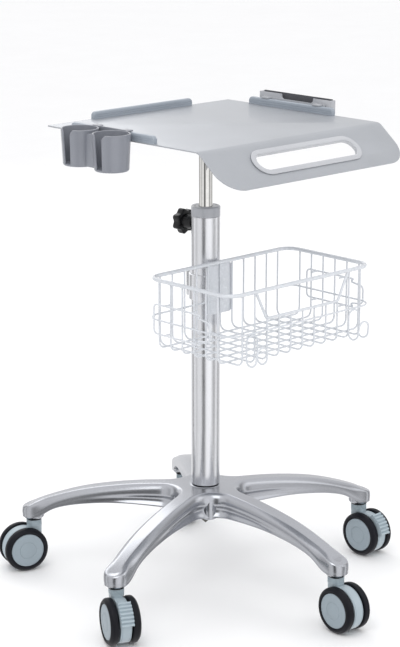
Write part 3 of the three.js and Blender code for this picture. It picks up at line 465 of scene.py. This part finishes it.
def height_on(line, radius):
    """Smooth interpolation of a leg height at a radius."""
    radius = min(max(radius, LEG_RADII[0]), LEG_RADII[-1] - 0.01)
    index = max(i for i, r in enumerate(LEG_RADII) if r <= radius)
    span = LEG_RADII[index + 1] - LEG_RADII[index]
    share = (radius - LEG_RADII[index]) / span

    def slope(at):
        low, high = max(at - 1, 0), min(at + 1, len(line) - 1)
        return (line[high] - line[low]) / (LEG_RADII[high] - LEG_RADII[low]) * span

    a, b = line[index], line[index + 1]
    cubic = (2 * share ** 3 - 3 * share ** 2 + 1) * a + (3 * share ** 2 - 2 * share ** 3) * b
    tangents = (share ** 3 - 2 * share ** 2 + share) * slope(index)
    tangents += (share ** 3 - share ** 2) * slope(index + 1)
    return cubic + tangents


def smoothstep(value, low, high):
    """Share of the way from low to high, eased at both ends."""
    share = min(max((value - low) / (high - low), 0), 1)
    return share * share * (3 - 2 * share)


def leg_section(radius):
    """(half width, z) round a leg: crown, shoulder, hollowed side, lower lip and hollow underside."""
    crown, edge, skirt = (height_on(line, radius) for line in (LEG_CROWN, LEG_EDGE, LEG_SKIRT))
    narrowing = smoothstep(radius, 180, 300)
    tip = smoothstep(radius, 270, 298)
    hollow = 1 - smoothstep(radius, 80, 210)
    half = LEG_HALF_WIDTH - 0.7 * narrowing
    flat = OUTLINE_HALF_WIDTH - 2.5 * narrowing
    groove = half - 0.5 - 8 * hollow
    lip = half - 0.5
    rise = edge - skirt
    return [
        (flat, crown), (flat + 0.7, crown - 0.3),
        (flat + (0.6 + 0.25 * tip) * (half - flat), crown - 3.6 + 1.8 * tip),
        (half - 0.7 + 0.4 * tip, crown - (0.55 - 0.15 * tip) * (crown - edge)), (half, edge + 2),
        (half - 0.2 - hollow, edge - 1.5), (groove, skirt + 0.55 * rise),
        (lip - 0.3 * hollow, skirt + 0.14 * rise), (lip, skirt + 0.9), (lip - 1.4, skirt), (11.5, skirt),
        (10.8, skirt + 0.8), (8, skirt + 0.66 * (crown - skirt)),
    ]


def half_leg_outline():
    """Right half of one leg's outline along +X: points and outward normals, web to tip."""
    centre = WEB_RADIUS + OUTLINE_HALF_WIDTH
    web_end = centre / math.tan(LEG_STEP / 2)
    points = []
    for angle in range(144, 89, -9):
        x, y = math.cos(math.radians(angle)), math.sin(math.radians(angle))
        points.append((web_end + WEB_RADIUS * x, -centre + WEB_RADIUS * y, -x, -y))
    for x in OUTLINE_STATIONS:
        points.append((x, -OUTLINE_HALF_WIDTH, 0, -1))
    for angle in range(-90, 0, 15):
        x, y = math.cos(math.radians(angle)), math.sin(math.radians(angle))
        points.append((STEM_RING_RADIUS + OUTLINE_HALF_WIDTH * x, OUTLINE_HALF_WIDTH * y, x, y))
    return points


def star_shell():
    """The five legs as one skin, its cage made for subdivision."""
    half = half_leg_outline()
    apex = (STEM_RING_RADIUS + OUTLINE_HALF_WIDTH, 0, 1, 0)
    leg = [*half, apex, *[(x, -y, nx, -ny) for x, y, nx, ny in reversed(half[1:])]]
    sections = [leg_section(math.hypot(x, y)) for x, y, _, _ in leg]
    rings = []
    for level in range(len(sections[0])):
        ring = []
        for index in range(LEG_COUNT):
            turn = Matrix.Rotation(index * LEG_STEP - math.pi / 2, 3, "Z")
            for (x, y, nx, ny), section in zip(leg, sections):
                out = section[level][0] - OUTLINE_HALF_WIDTH
                ring.append(turn @ Vector((x + nx * out, y + ny * out, section[level][1])))
        rings.append(ring)
    vertices, faces = skin(rings, closed_ends=False)
    length, total = len(leg), len(rings[0])
    for first in (0, len(vertices) - total):
        centre = Vector((0, 0, vertices[first].z))
        vertices.append(centre)
        for index in range(LEG_COUNT):
            at = [first + (index * length + step) % total for step in range(length + 1)]
            for step in range(length // 2 - 1):
                faces.append((at[step], at[step + 1], at[length - step - 1], at[length - step]))
            faces.append((at[length // 2 - 1], at[length // 2], at[length // 2 + 1]))
            faces.append((at[0], at[length], len(vertices) - 1))
    return vertices, faces


def leg_end(turn):
    """Round knuckle under a leg tip, drawn in to the caster's seat."""
    seat = limits("star_base")[4]
    knuckle = turned([
        (0, seat), (12.8, seat), (16, seat + 1.4), (17.6, seat + 4), (17.6, seat + 12),
        (0, seat + 12)], 1.8)
    return moved(knuckle, turn @ Matrix.Translation((STEM_RING_RADIUS, 0, 0)))


def add_base():
    """Cast legs with their hub, pillars and knuckles, and the washer and bolt under them."""
    top = limits("star_base")[5]
    star = add_piece("star_legs", [star_shell()], CAST, "base", ["star_base"], angle=60)
    smooth = star.modifiers.new("smooth", "SUBSURF")
    smooth.levels = 2
    smooth.render_levels = 2
    hub_low = limits("hub_washer")[5] + 0.3
    hub = turned([
        (0, hub_low), (21, hub_low), (23.5, hub_low + 3), (25.5, 158), (28, top - 1.4), (0, top - 1.4)], 1.5)
    turns = [Matrix.Rotation(index * LEG_STEP - math.pi / 2, 4, "Z") for index in range(LEG_COUNT)]
    ends = [leg_end(turn) for turn in turns]
    foot = hub_low + 8
    pillar = turned([
        (0, foot), (10.2, foot), (11.2, foot + 1), (PILLAR_RADIUS, foot + 16),
        (PILLAR_RADIUS, 149), (9.5, 156), (0, 160)], 4, 48)
    between = Matrix.Rotation(LEG_STEP / 2, 4, "Z") @ Matrix.Translation((PILLAR_PLACE, 0, 0))
    pillars = [moved(pillar, turn @ between) for turn in turns]
    add_piece("hub_and_knuckles", [hub, *pillars, *ends], CAST, "base")
    refine_node("hub_washer", STEEL, 0.4)
    refine_node("hub_bolt", STEEL, 0.4)


# Casters

ALONG_AXLE = Matrix.Rotation(-math.pi / 2, 4, "X")
WHEEL_WIDTH = (11.5, 24.5)
DISC_RADIUS = 28.5
DISC_RING_RADIUS = 14.2
FENDER_RADIUS = 35
FENDER_HALF_WIDTH = 9.1
FLOOR_GAP = 8
NECK_LOW = 56
PEDAL_ANGLES = (6, 64)
PEDAL_HALF_WIDTH = 10.5
PEDAL_RIBS = 7
RIB_VALLEY, RIB_CREST = 5, 7.8
SPINDLE_RADII = (5, 5.5)
SPINDLE_WASHER_RADIUS = 12.8


def caster_frame(label):
    """Frame at the stem's foot with +X towards the axle, the axle's place in it, and its height."""
    stem, axle = (limits(f"{label}_{part}") for part in ("stem", "axle"))
    foot = Vector(((stem[0] + stem[1]) / 2, (stem[2] + stem[3]) / 2, 0))
    middle = Vector(((axle[0] + axle[1]) / 2, (axle[2] + axle[3]) / 2, 0))
    height = (axle[4] + axle[5]) / 2
    trail = middle - foot
    frame_matrix = Matrix.Translation(foot) @ Matrix.Rotation(math.atan2(trail.y, trail.x), 4, "Z")
    return frame_matrix, Matrix.Translation((trail.length, 0, height)) @ ALONG_AXLE, height


def add_wheel(label, side_name, side, place, radius):
    """Tyre and hub disc of one wheel, drawn along the axle."""
    inner, outer = WHEEL_WIDTH
    flip = Matrix.Identity(4) if side > 0 else Matrix.Rotation(math.pi, 4, "X")
    tyre = turned([
        (DISC_RADIUS, outer - 2.5), (DISC_RADIUS + 0.6, outer - 0.3), (radius - 4.4, outer),
        (radius - 0.6, outer - 3.4), (radius, outer - 5.6), (radius, inner + 1.6),
        (radius - 1.6, inner), (4, inner), (4, inner + 3), (DISC_RADIUS, inner + 3),
        (DISC_RADIUS, outer - 2.5)], 0.9, 96)
    ring = DISC_RING_RADIUS
    disc = turned([
        (0, outer - 0.1), (ring - 0.5, outer - 0.4), (ring - 0.2, outer - 0.9), (ring + 0.2, outer - 0.9),
        (ring + 0.5, outer - 0.4), (DISC_RADIUS - 3, outer - 0.9), (DISC_RADIUS - 0.4, outer - 1.2),
        (DISC_RADIUS - 0.4, outer - 4), (0, outer - 4)], 0.3, 96)
    node = f"{label}_wheel_{side_name}"
    body = f"{label}_roller_{side_name}"
    add_piece(f"{label}_tyre_{side_name}", [tyre], TYRE, body, [node], 30, place @ flip)
    add_piece(f"{label}_disc_{side_name}", [disc], DISC, body, [node], 30, place @ flip)


def fender(height):
    """Arched body between the wheels with a line pressed near each edge, cut flat above the floor."""
    half, radius = FENDER_HALF_WIDTH, FENDER_RADIUS
    profile = [(0, -half), (radius - 3, -half), (radius - 0.6, -half + 0.3), (radius, -half + 1)]
    profile += [(radius, -half + 1.9), (radius - 0.5, -half + 2.2), (radius - 0.5, -half + 2.7)]
    profile += [(radius + 0.1, -half + 3.1)]
    profile += [(r, -w) for r, w in reversed(profile)]
    vertices, faces = lathe(profile, 96)
    shell = bmesh.new()
    handles = [shell.verts.new(vertex) for vertex in vertices]
    for face in faces:
        shell.faces.new([handles[index] for index in face])
    bmesh.ops.remove_doubles(shell, verts=shell.verts, dist=0.01)
    everything = [*shell.verts, *shell.edges, *shell.faces]
    cut = bmesh.ops.bisect_plane(
        shell, geom=everything, plane_co=(0, height - FLOOR_GAP, 0), plane_no=(0, 1, 0), clear_outer=True)
    rim = [item for item in cut["geom_cut"] if isinstance(item, bmesh.types.BMEdge)]
    bmesh.ops.contextual_create(shell, geom=rim)
    shell.verts.index_update()
    vertices = [vert.co.copy() for vert in shell.verts]
    faces = [tuple(vert.index for vert in face.verts) for face in shell.faces]
    shell.free()
    return vertices, faces


def neck(low, high):
    """Moulded block over the fender with three fine grooves round its upper part."""
    across, along, depth, pitch = 11.2, 11.8, 0.9, 2.6
    levels = [(low, 10.4, along), (low + 17, 10.4, along), (low + 19, across, along)]
    for index in range(3):
        z = high - 7.2 + index * pitch
        for step, inset in ((-0.75, 0), (-0.45, depth), (0.45, depth), (0.75, 0)):
            levels.append((z + step, across - inset, along - inset))
    levels += [(high - 0.5, across, along), (high, across - 0.6, along - 0.6)]
    rings = []
    for z, across, along in levels:
        corners = [(-along, -across), (along, -across), (along, across), (-along, across)]
        rings.append([(p.x, p.y, z) for p in fillet(corners, 7, True, 8)])
    return skin(rings)


def pedal():
    """Ribbed foot pedal over the upper trailing part of the fender, drawn in the wheel's plane."""
    inner = FENDER_RADIUS + 0.4
    start, end = PEDAL_ANGLES
    outline = []
    for step in range(25):
        angle = math.radians(start + (end - start) * step / 24)
        outline.append((inner * math.cos(angle), -inner * math.sin(angle)))
    span = (end - start) / PEDAL_RIBS
    for rib in range(PEDAL_RIBS):
        for share, height in (
                (0.04, RIB_VALLEY), (0.3, RIB_CREST), (0.66, RIB_CREST), (0.92, RIB_VALLEY)):
            angle = math.radians(end - (rib + share) * span)
            outline.append(((inner + height) * math.cos(angle), -(inner + height) * math.sin(angle)))
    outline = fillet(list(reversed(outline)), 0.7, True, 3)
    return plate(outline, [], -PEDAL_HALF_WIDTH, PEDAL_HALF_WIDTH, 0.6)


def stem(label):
    """Swivel pin with the washer that lies under the leg's seat."""
    z0, z1 = limits(f"{label}_stem")[4:]
    lower, upper = SPINDLE_RADII
    rim = SPINDLE_WASHER_RADIUS
    washer = z1 - 16
    return turned([
        (0, z0), (lower, z0), (lower, washer - 1.7), (rim, washer - 1.7), (rim, washer),
        (upper, washer), (upper, z1), (0, z1)], 0.4, 48)


def add_caster(label):
    """One twin-wheel caster, with a foot pedal where the CAD has one."""
    place, axle, height = caster_frame(label)
    for side_name, side in (("left", 1), ("right", -1)):
        add_wheel(label, side_name, side, place @ axle, height)
    housing = [moved(fender(height), axle), neck(NECK_LOW, limits(f"{label}_housing")[5])]
    add_piece(
        f"{label}_cover", housing, CASTER, f"{label}_fork", [f"{label}_housing"], 35, place)
    add_piece(f"{label}_spindle", [stem(label)], BLACK, "base", [f"{label}_stem"], 35,
              Matrix.Translation(place.translation))
    refine_node(f"{label}_axle", ZINC, 0.3)
    if f"{label}_brake_pedal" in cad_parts:
        add_piece(f"{label}_foot_pedal", [moved(pedal(), axle)], CASTER, f"{label}_brake",
                  [f"{label}_brake_pedal"], 40, place)


# Column and mast

COLUMN_WALL = 2
COLLAR_BORE = 11.5
MAST_BORE = 9.3
MAST_RADIUS = 11.1
MAST_FOOT = (15, 3.7)
KNOB_LOBES = 7
KNOB_WAVE = 1.9


def add_column():
    """Column tube, its collar and screws, and the mast that slides in it."""
    _, outer, _, _, z0, z1 = limits("outer_column")
    bore = outer - COLUMN_WALL
    add_piece("column_tube", [turned([
        (bore, z0), (outer, z0), (outer, z1), (bore, z1), (bore, z0)], 0.4, 128)],
        COLUMN, "base", ["outer_column"], 30)
    _, ring, _, _, low, high = limits("column_collar")
    inner = COLLAR_BORE
    collar = turned([
        (inner, low), (ring, low), (ring + 0.15, low + 0.4), (ring + 0.15, high - 1.4), (ring - 1.2, high),
        (inner + 1.2, high), (inner, high - 1.2), (inner, low)], 0.5, 96)
    add_piece("collar_cap", [collar], PALE, "base", ["column_collar"], 30)
    for side in ("left", "right"):
        add_collar_screw(side, high)
    low, high = limits("inner_tube")[4:]
    foot_radius, foot_height = MAST_FOOT
    add_piece("mast_tube", [turned([
        (MAST_BORE, low), (foot_radius, low), (foot_radius, low + foot_height),
        (MAST_RADIUS, low + foot_height), (MAST_RADIUS, high), (MAST_BORE, high), (MAST_BORE, low)],
        0.3, 96)],
        CHROME, "mast", ["inner_tube"], 30)
    for name in ("column_spigot", "mast_flange"):
        refine_node(name, ZINC, 0.5)
    for name in ("guide_bush", "glide_ring"):
        refine_node(name, NYLON, 0.3)


def add_collar_screw(side, collar_top):
    """Pan head seated on the collar, with thin black strips over it that are painted shade standing for the
    shade in its cross-shaped hollow.
    """
    name = f"collar_screw_{side}"
    x0, x1, y0, y1, _, z1 = limits(name)
    head = turned([(0, z1 - 3), (3.2, z1 - 3), (3.3, z1 - 0.6), (2.4, z1 + 0.4), (0, z1 + 0.7)], 0.3, 40)
    # Two crossed thin black strips just over the head: painted shade of the cross-shaped hollow.
    shade_bars = [box_plate(-1.7, 1.7, -0.35, 0.35, z1 + 0.5, z1 + 0.8, 0.3, 0.1)]
    shade_bars.append(moved(shade_bars[0], Matrix.Rotation(math.pi / 2, 4, "Z")))
    place = Matrix.Translation(((x0 + x1) / 2, (y0 + y1) / 2, min(0, collar_top - z1)))
    add_piece(f"{name}_head", [head], ZINC, "base", [name], 35, place)
    add_piece(f"{name}_recess_shade", shade_bars, BLACK, "base", place=place)


def add_knob():
    """Lobed grip with a flat cap and a tapering boss, along the stud's axis."""
    x0, x1, y0, y1, z0, z1 = limits("clamp_knob")
    radius = (x1 - x0) / 2
    steps = KNOB_LOBES * 20
    outline = []
    for step in range(steps):
        angle = 2 * math.pi * step / steps
        reach = radius - KNOB_WAVE + KNOB_WAVE * math.cos(KNOB_LOBES * angle)
        outline.append((reach * math.cos(angle), reach * math.sin(angle)))
    head = plate(outline, [], y1 - 14, y1, 2.4, 5)
    cap = turned([(0, y1 - 1), (9.5, y1 - 1), (9.5, y1), (8.5, y1 + 0.2), (0, y1 + 0.2)], 0.3, 64)
    boss = turned([(0, y0), (9, y0), (13, y1 - 13.5), (0, y1 - 13.5)], 1, 64)
    place = Matrix.Translation((0, 0, (z0 + z1) / 2)) @ ALONG_AXLE
    add_piece("knob_grip", [head, boss, cap], BLACK, "knob", ["clamp_knob"], 35, place)
    refine_node("knob_stud", ZINC, 0.3)


# Tray

TRAY_X0, TRAY_X1, _, TRAY_BACK, _, TRAY_TOP = limits("tray")
TRAY_THICKNESS = 2.2
PANEL_ANGLE = math.radians(38.8)
TRAY_BEND = -190
BEND_RADIUS = 18
BEND_REACH = BEND_RADIUS * math.tan(PANEL_ANGLE / 2)
PANEL_LENGTH = 82.5
PANEL_CORNER = 46
SLOT_CENTRE = 39.8
GRIP = (106.5, 15.8)
BEZEL_WIDTH = 9
RAIL_CORNER = 5


def on_tray(x, along, above):
    """Point over the bent sheet: `along` runs forward from the bend, `above` from its top face."""
    if along <= -BEND_REACH:
        angle, y, z = 0, TRAY_BEND - along, TRAY_TOP
    elif along >= BEND_REACH:
        angle = PANEL_ANGLE
        y, z = TRAY_BEND - along * math.cos(angle), TRAY_TOP - along * math.sin(angle)
    else:
        angle = PANEL_ANGLE * (along + BEND_REACH) / (2 * BEND_REACH)
        y = TRAY_BEND + BEND_REACH - BEND_RADIUS * math.sin(angle)
        z = TRAY_TOP - BEND_RADIUS + BEND_RADIUS * math.cos(angle)
    return Vector((x, y - above * math.sin(angle), z + above * math.cos(angle)))


def stadium(half_length, half_height, clockwise=False):
    """Round-ended slot outline about the grip's centre, drawn in (x, -along)."""
    straight = half_length - half_height
    points = []
    for end, first in ((1, -90), (-1, 90)):
        for step in range(25):
            angle = math.radians(first + step * 7.5)
            points.append((
                end * straight + half_height * math.cos(angle), -SLOT_CENTRE + half_height * math.sin(angle)))
    return points[::-1] if clockwise else points


def bent(part):
    """Lays a flat part drawn in (x, -along, above) on the sheet, cut first where it bends."""
    vertices, faces = part
    mesh = bmesh.new()
    handles = [mesh.verts.new(vertex) for vertex in vertices]
    for face in faces:
        mesh.faces.new([handles[index] for index in face])
    for step in range(-8, 9):
        everything = [*mesh.verts, *mesh.edges, *mesh.faces]
        bmesh.ops.bisect_plane(
            mesh, geom=everything, plane_co=(0, BEND_REACH * step / 8, 0), plane_no=(0, 1, 0))
    mesh.verts.index_update()
    placed = [on_tray(vert.co.x, -vert.co.y, vert.co.z) for vert in mesh.verts]
    faces = [tuple(vert.index for vert in face.verts) for face in mesh.faces]
    mesh.free()
    return placed, faces


def tray_outline():
    """Flattened sheet in (x, -along), round at the panel's lower corners."""
    back = TRAY_BACK - TRAY_BEND
    rear = fillet([(TRAY_X1, 0), (TRAY_X1, back), (TRAY_X0, back), (TRAY_X0, 0)], 3, False, 4)
    front = fillet(
        [(TRAY_X0, 0), (TRAY_X0, -PANEL_LENGTH), (TRAY_X1, -PANEL_LENGTH), (TRAY_X1, 0)],
        PANEL_CORNER, False, 20)
    return [*rear, *front[1:-1]]


def add_tray():
    """Bent sheet with a grip slot, and the bezel that lines the slot."""
    half_length, half_height = GRIP
    hole = stadium(half_length + 3, half_height + 3, True)
    sheet = bent(plate(tray_outline(), [hole], -TRAY_THICKNESS, 0, 0.7))
    add_piece("tray_sheet", [sheet], TRAY_COAT, "mast", ["tray"], 30)
    opening = stadium(half_length, half_height, True)
    rim = stadium(half_length + BEZEL_WIDTH, half_height + BEZEL_WIDTH)
    lip = bent(plate(rim, [opening], 0.2, 2.6, 1.1, 4))
    sleeve = bent(plate(stadium(half_length + 2.7, half_height + 2.7), [opening], -4.2, 1, 0.6))
    add_piece("grip_bezel", [lip, sleeve], BEZEL, "mast", ["handle_bezel"], 35)


def rail_section():
    """Half of the guard rail's section as (depth, share of height), grooved on its face."""
    face = [(0.3, 0), (0, 0.04)]
    for share in (0.26, 0.52):
        face += [(0, share - 0.03), (0.5, share), (0.5, share + 0.05), (0, share + 0.08)]
    return [*face, (0, 0.78), (0.25, 0.88), (0.9, 0.96), (1.9, 1)]


def rail(length, height, depth):
    """Guard rail along +X from 0, on z = 0, with rounded upper ends."""
    near = rail_section()
    section = [*near, *[(depth - d, share) for d, share in reversed(near)]]
    corner = RAIL_CORNER
    stations = [corner * (1 - math.cos(math.radians(angle))) for angle in range(0, 91, 15)]
    stations += [length - station for station in reversed(stations)]
    rings = []
    for station in stations:
        end = max(corner - min(station, length - station), 0)
        top = height - corner + math.sqrt(max(corner ** 2 - end ** 2, 0))
        rings.append([(station, d, share * top) for d, share in section])
    return skin(rings)


def add_rails():
    """Guard rails along the rear, left and right edges."""
    x0, x1, y0, y1, z0, z1 = limits("rear_rail")
    height, depth = z1 - z0, y1 - y0
    place = Matrix.Translation((x0, y0, z0))
    add_piece("rail_back", [rail(x1 - x0, height, depth)], RAIL_GREY, "mast", ["rear_rail"],
              30, place)
    for side in ("left", "right"):
        x0, x1, y0, y1, z0, z1 = limits(f"{side}_rail")
        place = Matrix.Translation((x1, y0, z0)) @ Matrix.Rotation(math.pi / 2, 4, "Z")
        add_piece(f"rail_{side}", [rail(y1 - y0, z1 - z0, x1 - x0)], RAIL_GREY, "mast",
                  [f"{side}_rail"], 30, place)


# Accessories on the rails

CUP_RADII = (26.5, 29.5)
CUP_WALL = 2.8
CUP_SPACING = 72.4
CUP_HEIGHT = 58
WEB_EDGE_RADIUS = 27.5
CLIP_HALF_LENGTH = 39
CLIP_LIP_PLACE = 34
TAB_HALF_WIDTH = 8


def cup_wall(bottom, top):
    """Open sheet round a cup, from one edge of its slot round to the other, as a grid of points."""
    rows = 16
    columns = 64
    grid = []
    for row in range(rows + 1):
        share = row / rows
        radius = CUP_RADII[0] + (CUP_RADII[1] - CUP_RADII[0]) * share - CUP_WALL / 2
        flare = 5.5 * max(0, (share - 0.86) / 0.14) ** 2
        half_gap = (4.5 + 2 * share + flare + CUP_WALL / 2) / radius
        z = bottom + (top - bottom) * share
        line = []
        for column in range(columns + 1):
            angle = math.pi + half_gap + (2 * math.pi - 2 * half_gap) * column / columns
            line.append((radius * math.cos(angle), radius * math.sin(angle), z))
        grid.append(line)
    return grid


def add_shell(name, grid, thickness, material, body, place, replaced=()):
    """Object of an open sheet of points thickened both ways, its edges rounded."""
    columns = len(grid[0])
    vertices = [Vector(point) for line in grid for point in line]
    faces = []
    for row in range(len(grid) - 1):
        for column in range(columns - 1):
            start = row * columns + column
            faces.append((start, start + 1, start + columns + 1, start + columns))
    piece = add_piece(name, [(vertices, faces)], material, body, replaced, 35, place)
    thick = piece.modifiers.new("thicken", "SOLIDIFY")
    thick.thickness = thickness * MM
    thick.offset = 0
    soften = piece.modifiers.new("soften", "BEVEL")
    soften.width = 0.42 * thickness * MM
    soften.segments = 4
    soften.limit_method = "ANGLE"
    soften.angle_limit = math.radians(50)
    soften.harden_normals = True
    return piece


def cup_web_outline():
    """Outline of the web between the cups, its long edges running inside their walls."""
    radius = WEB_EDGE_RADIUS
    near = []
    for degrees in range(-22, 31, 4):
        angle = math.radians(degrees)
        near.append((radius * math.sin(angle), radius * math.cos(angle) - CUP_SPACING / 2))
    return [*near, *[(x, -y) for x, y in reversed(near)]]


def add_cups():
    """Two slotted cups joined by a web, on a clip whose two lips lie over the left rail."""
    x0, _, _, _, z0, z1 = limits("cup_holder")
    top = z0 + CUP_HEIGHT
    middle = x0 + CUP_RADII[1]
    places = (-CUP_SPACING / 2, CUP_SPACING / 2)
    for name, y in zip(("front", "back"), places):
        place = Matrix.Translation((middle, y, 0))
        wall = cup_wall(z0 + 1.2, top - 1.2)
        add_shell(f"cup_{name}", wall, CUP_WALL, CUP, "mast", place, ["cup_holder"])
    floors = []
    for y in places:
        disc = turned([
            (0, z0), (CUP_RADII[0] - 1.4, z0), (CUP_RADII[0] - 0.6, z0 + 1), (CUP_RADII[0] - 0.8, z0 + 3),
            (0, z0 + 3)], 0.8, 72)
        floors.append(moved(disc, Matrix.Translation((middle, y, 0))))
    web = moved(plate(cup_web_outline(), [], z0 + 1, top - 6, 0.8), Matrix.Translation((middle, 0, 0)))
    edge = TRAY_X0 - 0.3
    clip = box_plate(edge - 3.4, edge, -CLIP_HALF_LENGTH, CLIP_HALF_LENGTH, z0 + 6, z1, 1.2, 1)
    half = TAB_HALF_WIDTH
    bridges = [
        box_plate(middle + 27.2, edge - 2, y - half, y + half, top - 32, top - 3, 1, 0.8)
        for y in places]
    lips = [
        box_plate(edge - 2, TRAY_X0 + 8, y - half, y + half, z1 - 2.1, z1, 2, 0.8)
        for y in (-CLIP_LIP_PLACE, CLIP_LIP_PLACE)]
    add_piece("cup_bracket", [*floors, web, clip, *bridges, *lips], CUP, "mast", ["cup_holder"])


# Basket

BASKET_X0, BASKET_X1, FRONT_Y0, FRONT_Y1, BASKET_Z0, BASKET_Z1 = limits("basket_front")
BASKET_HALF = (BASKET_X1 - BASKET_X0) / 2 - 1.9
BASKET_FRONT = (FRONT_Y0 + FRONT_Y1) / 2
BASKET_BACK = sum(limits("basket_back")[2:4]) / 2
BASKET_MIDDLE = (BASKET_FRONT + BASKET_BACK) / 2
RIM_RADIUS = 3.1
WIRE_RADIUS = 1.45
RIM_HEIGHT = BASKET_Z1 - RIM_RADIUS
MID_HEIGHT = 484.5
FLOOR_HEIGHT = BASKET_Z0 + WIRE_RADIUS
DIP_HEIGHT = 501.5
DIP_TOP_HALF = 103
DIP_HALF = 80
BASKET_CORNER = 24
FOOT_RADIUS = 11
LONG_WIRES, LONG_PITCH = 11, 26.4
CROSS_WIRES = 6
HOOK_PLACE = 114.5
SIDE_FRAME_GAP = 14
SIDE_FRAME_HALF = 62
SIDE_FRAME_HEIGHTS = (466.6, 513.4)


def basket_loop(z, outward, radius):
    """Closed wire round the basket, moved outward from the wall wires' centres."""
    x, front, back = BASKET_HALF + outward, BASKET_FRONT - outward, BASKET_BACK + outward
    corners = [(-x, front, z), (x, front, z), (x, back, z), (-x, back, z)]
    return tube(fillet(corners, BASKET_CORNER + outward, True, 12), radius, True, 16)


def long_wires():
    """Wires that run down the back, under the floor and up the front, to the rim or the dip."""
    wires = []
    for index in range(LONG_WIRES):
        x = (index - (LONG_WIRES - 1) / 2) * LONG_PITCH
        front_top = DIP_HEIGHT if abs(x) < DIP_HALF else RIM_HEIGHT
        path = [
            (x, BASKET_BACK, RIM_HEIGHT), (x, BASKET_BACK, FLOOR_HEIGHT), (x, BASKET_FRONT, FLOOR_HEIGHT),
            (x, BASKET_FRONT, front_top)]
        wires.append(tube(fillet(path, FOOT_RADIUS, False, 10), WIRE_RADIUS, up=(1, 0, 0)))
    return wires


def cross_wires():
    """Wires that run down one side, over the floor wires and up the other side."""
    pitch = (BASKET_BACK - BASKET_FRONT) / (CROSS_WIRES + 1)
    z = FLOOR_HEIGHT + 2 * WIRE_RADIUS
    wires = []
    for index in range(CROSS_WIRES):
        y = BASKET_MIDDLE + (index - (CROSS_WIRES - 1) / 2) * pitch
        path = [
            (-BASKET_HALF, y, RIM_HEIGHT), (-BASKET_HALF, y, z),
            (BASKET_HALF, y, z), (BASKET_HALF, y, RIM_HEIGHT)]
        wires.append(tube(fillet(path, FOOT_RADIUS, False, 10), WIRE_RADIUS, up=(0, 1, 0)))
    return wires


def dip_wire():
    """Thicker wire along the front that drops from the rim into the access dip."""
    path = [
        (-DIP_TOP_HALF, BASKET_FRONT, RIM_HEIGHT - 1), (-DIP_HALF, BASKET_FRONT, DIP_HEIGHT),
        (DIP_HALF, BASKET_FRONT, DIP_HEIGHT), (DIP_TOP_HALF, BASKET_FRONT, RIM_HEIGHT - 1)]
    return tube(fillet(path, 7, False, 8), 2.2, up=(0, 1, 0), sides=14)


def hook(side):
    """Long loop of wire against the front wall whose foot is bent forward and up."""
    x = side * HOOK_PLACE
    wall = BASKET_FRONT - 2 * WIRE_RADIUS - 0.4
    half, top, foot = 11.5, 480, 436
    left = [
        (x - half, wall, top - 2), (x - half, wall, foot + 4), (x - half, wall - 10, foot - 1),
        (x - half, wall - 20, foot + 6), (x - half, wall - 22, foot + 24), (x, wall - 22, foot + 33)]
    right = [(2 * x - px, py, pz) for px, py, pz in reversed(left[:-1])]
    path = [(x, wall, top + 3), *left, *right]
    return tube(fillet(path, 10, True, 8), WIRE_RADIUS, True, up=(0, 1, 0))


def side_frame(side):
    """Wire rectangle held off a side wall, folded back on itself near the front, on four pins."""
    x = side * (BASKET_HALF + SIDE_FRAME_GAP)
    low, high = SIDE_FRAME_HEIGHTS
    back, front = BASKET_MIDDLE + SIDE_FRAME_HALF, BASKET_MIDDLE - SIDE_FRAME_HALF
    corners = [
        (x, back, low), (x, back, high), (x, front + 12, high), (x, front + 34, high - 4.5),
        (x, front, high - 9), (x, front, low + 9), (x, front + 34, low + 4.5), (x, front + 12, low)]
    parts = [tube(fillet(corners, 7, True, 8), WIRE_RADIUS, True, up=(1, 0, 0))]
    wall = side * (BASKET_HALF + WIRE_RADIUS)
    for y in (back - 24, front + 40):
        for z in (low, high):
            parts.append(tube([(x, y, z), (wall, y, z)], WIRE_RADIUS))
    return parts


def add_basket():
    """Wire basket with its hooks and side frames, its back plate and clamp."""
    walls = ["basket_front", "basket_back", "basket_left", "basket_right"]
    rim = basket_loop(RIM_HEIGHT, 0, RIM_RADIUS)
    add_piece("basket_rim", [rim], WIRE_COAT, "base", walls)
    belt = basket_loop(MID_HEIGHT, 2 * WIRE_RADIUS, WIRE_RADIUS)
    add_piece("basket_belt", [belt], WIRE_COAT, "base")
    add_piece("basket_long_wires", long_wires(), WIRE_COAT, "base", ["basket_floor"])
    add_piece("basket_cross_wires", cross_wires(), WIRE_COAT, "base")
    add_piece("basket_dip_wire", [dip_wire()], WIRE_COAT, "base")
    for name, side in (("left", -1), ("right", 1)):
        add_piece(f"wire_hook_{name}", [hook(side)], WIRE_COAT, "base", [f"basket_hook_{name}"])
        add_piece(f"wire_frame_{name}", side_frame(side), WIRE_COAT, "base",
                  [f"basket_frame_{name}"])
    refine_node("basket_plate", WIRE_COAT, 0.8)
    refine_node("basket_clamp", COLUMN, 0.8)


add_base()
for caster in ("caster_front", "caster_right", "caster_back", "caster_rear_left", "caster_left"):
    add_caster(caster)
add_column()
add_knob()
add_tray()
add_rails()
add_cups()
refine_node("side_pocket", POCKET, 0.7)
# The liner's dark colour is painted shade inside the side pocket.
refine_node("pocket_liner", POCKET_SHADE_FELT, 0.5)
add_basket()
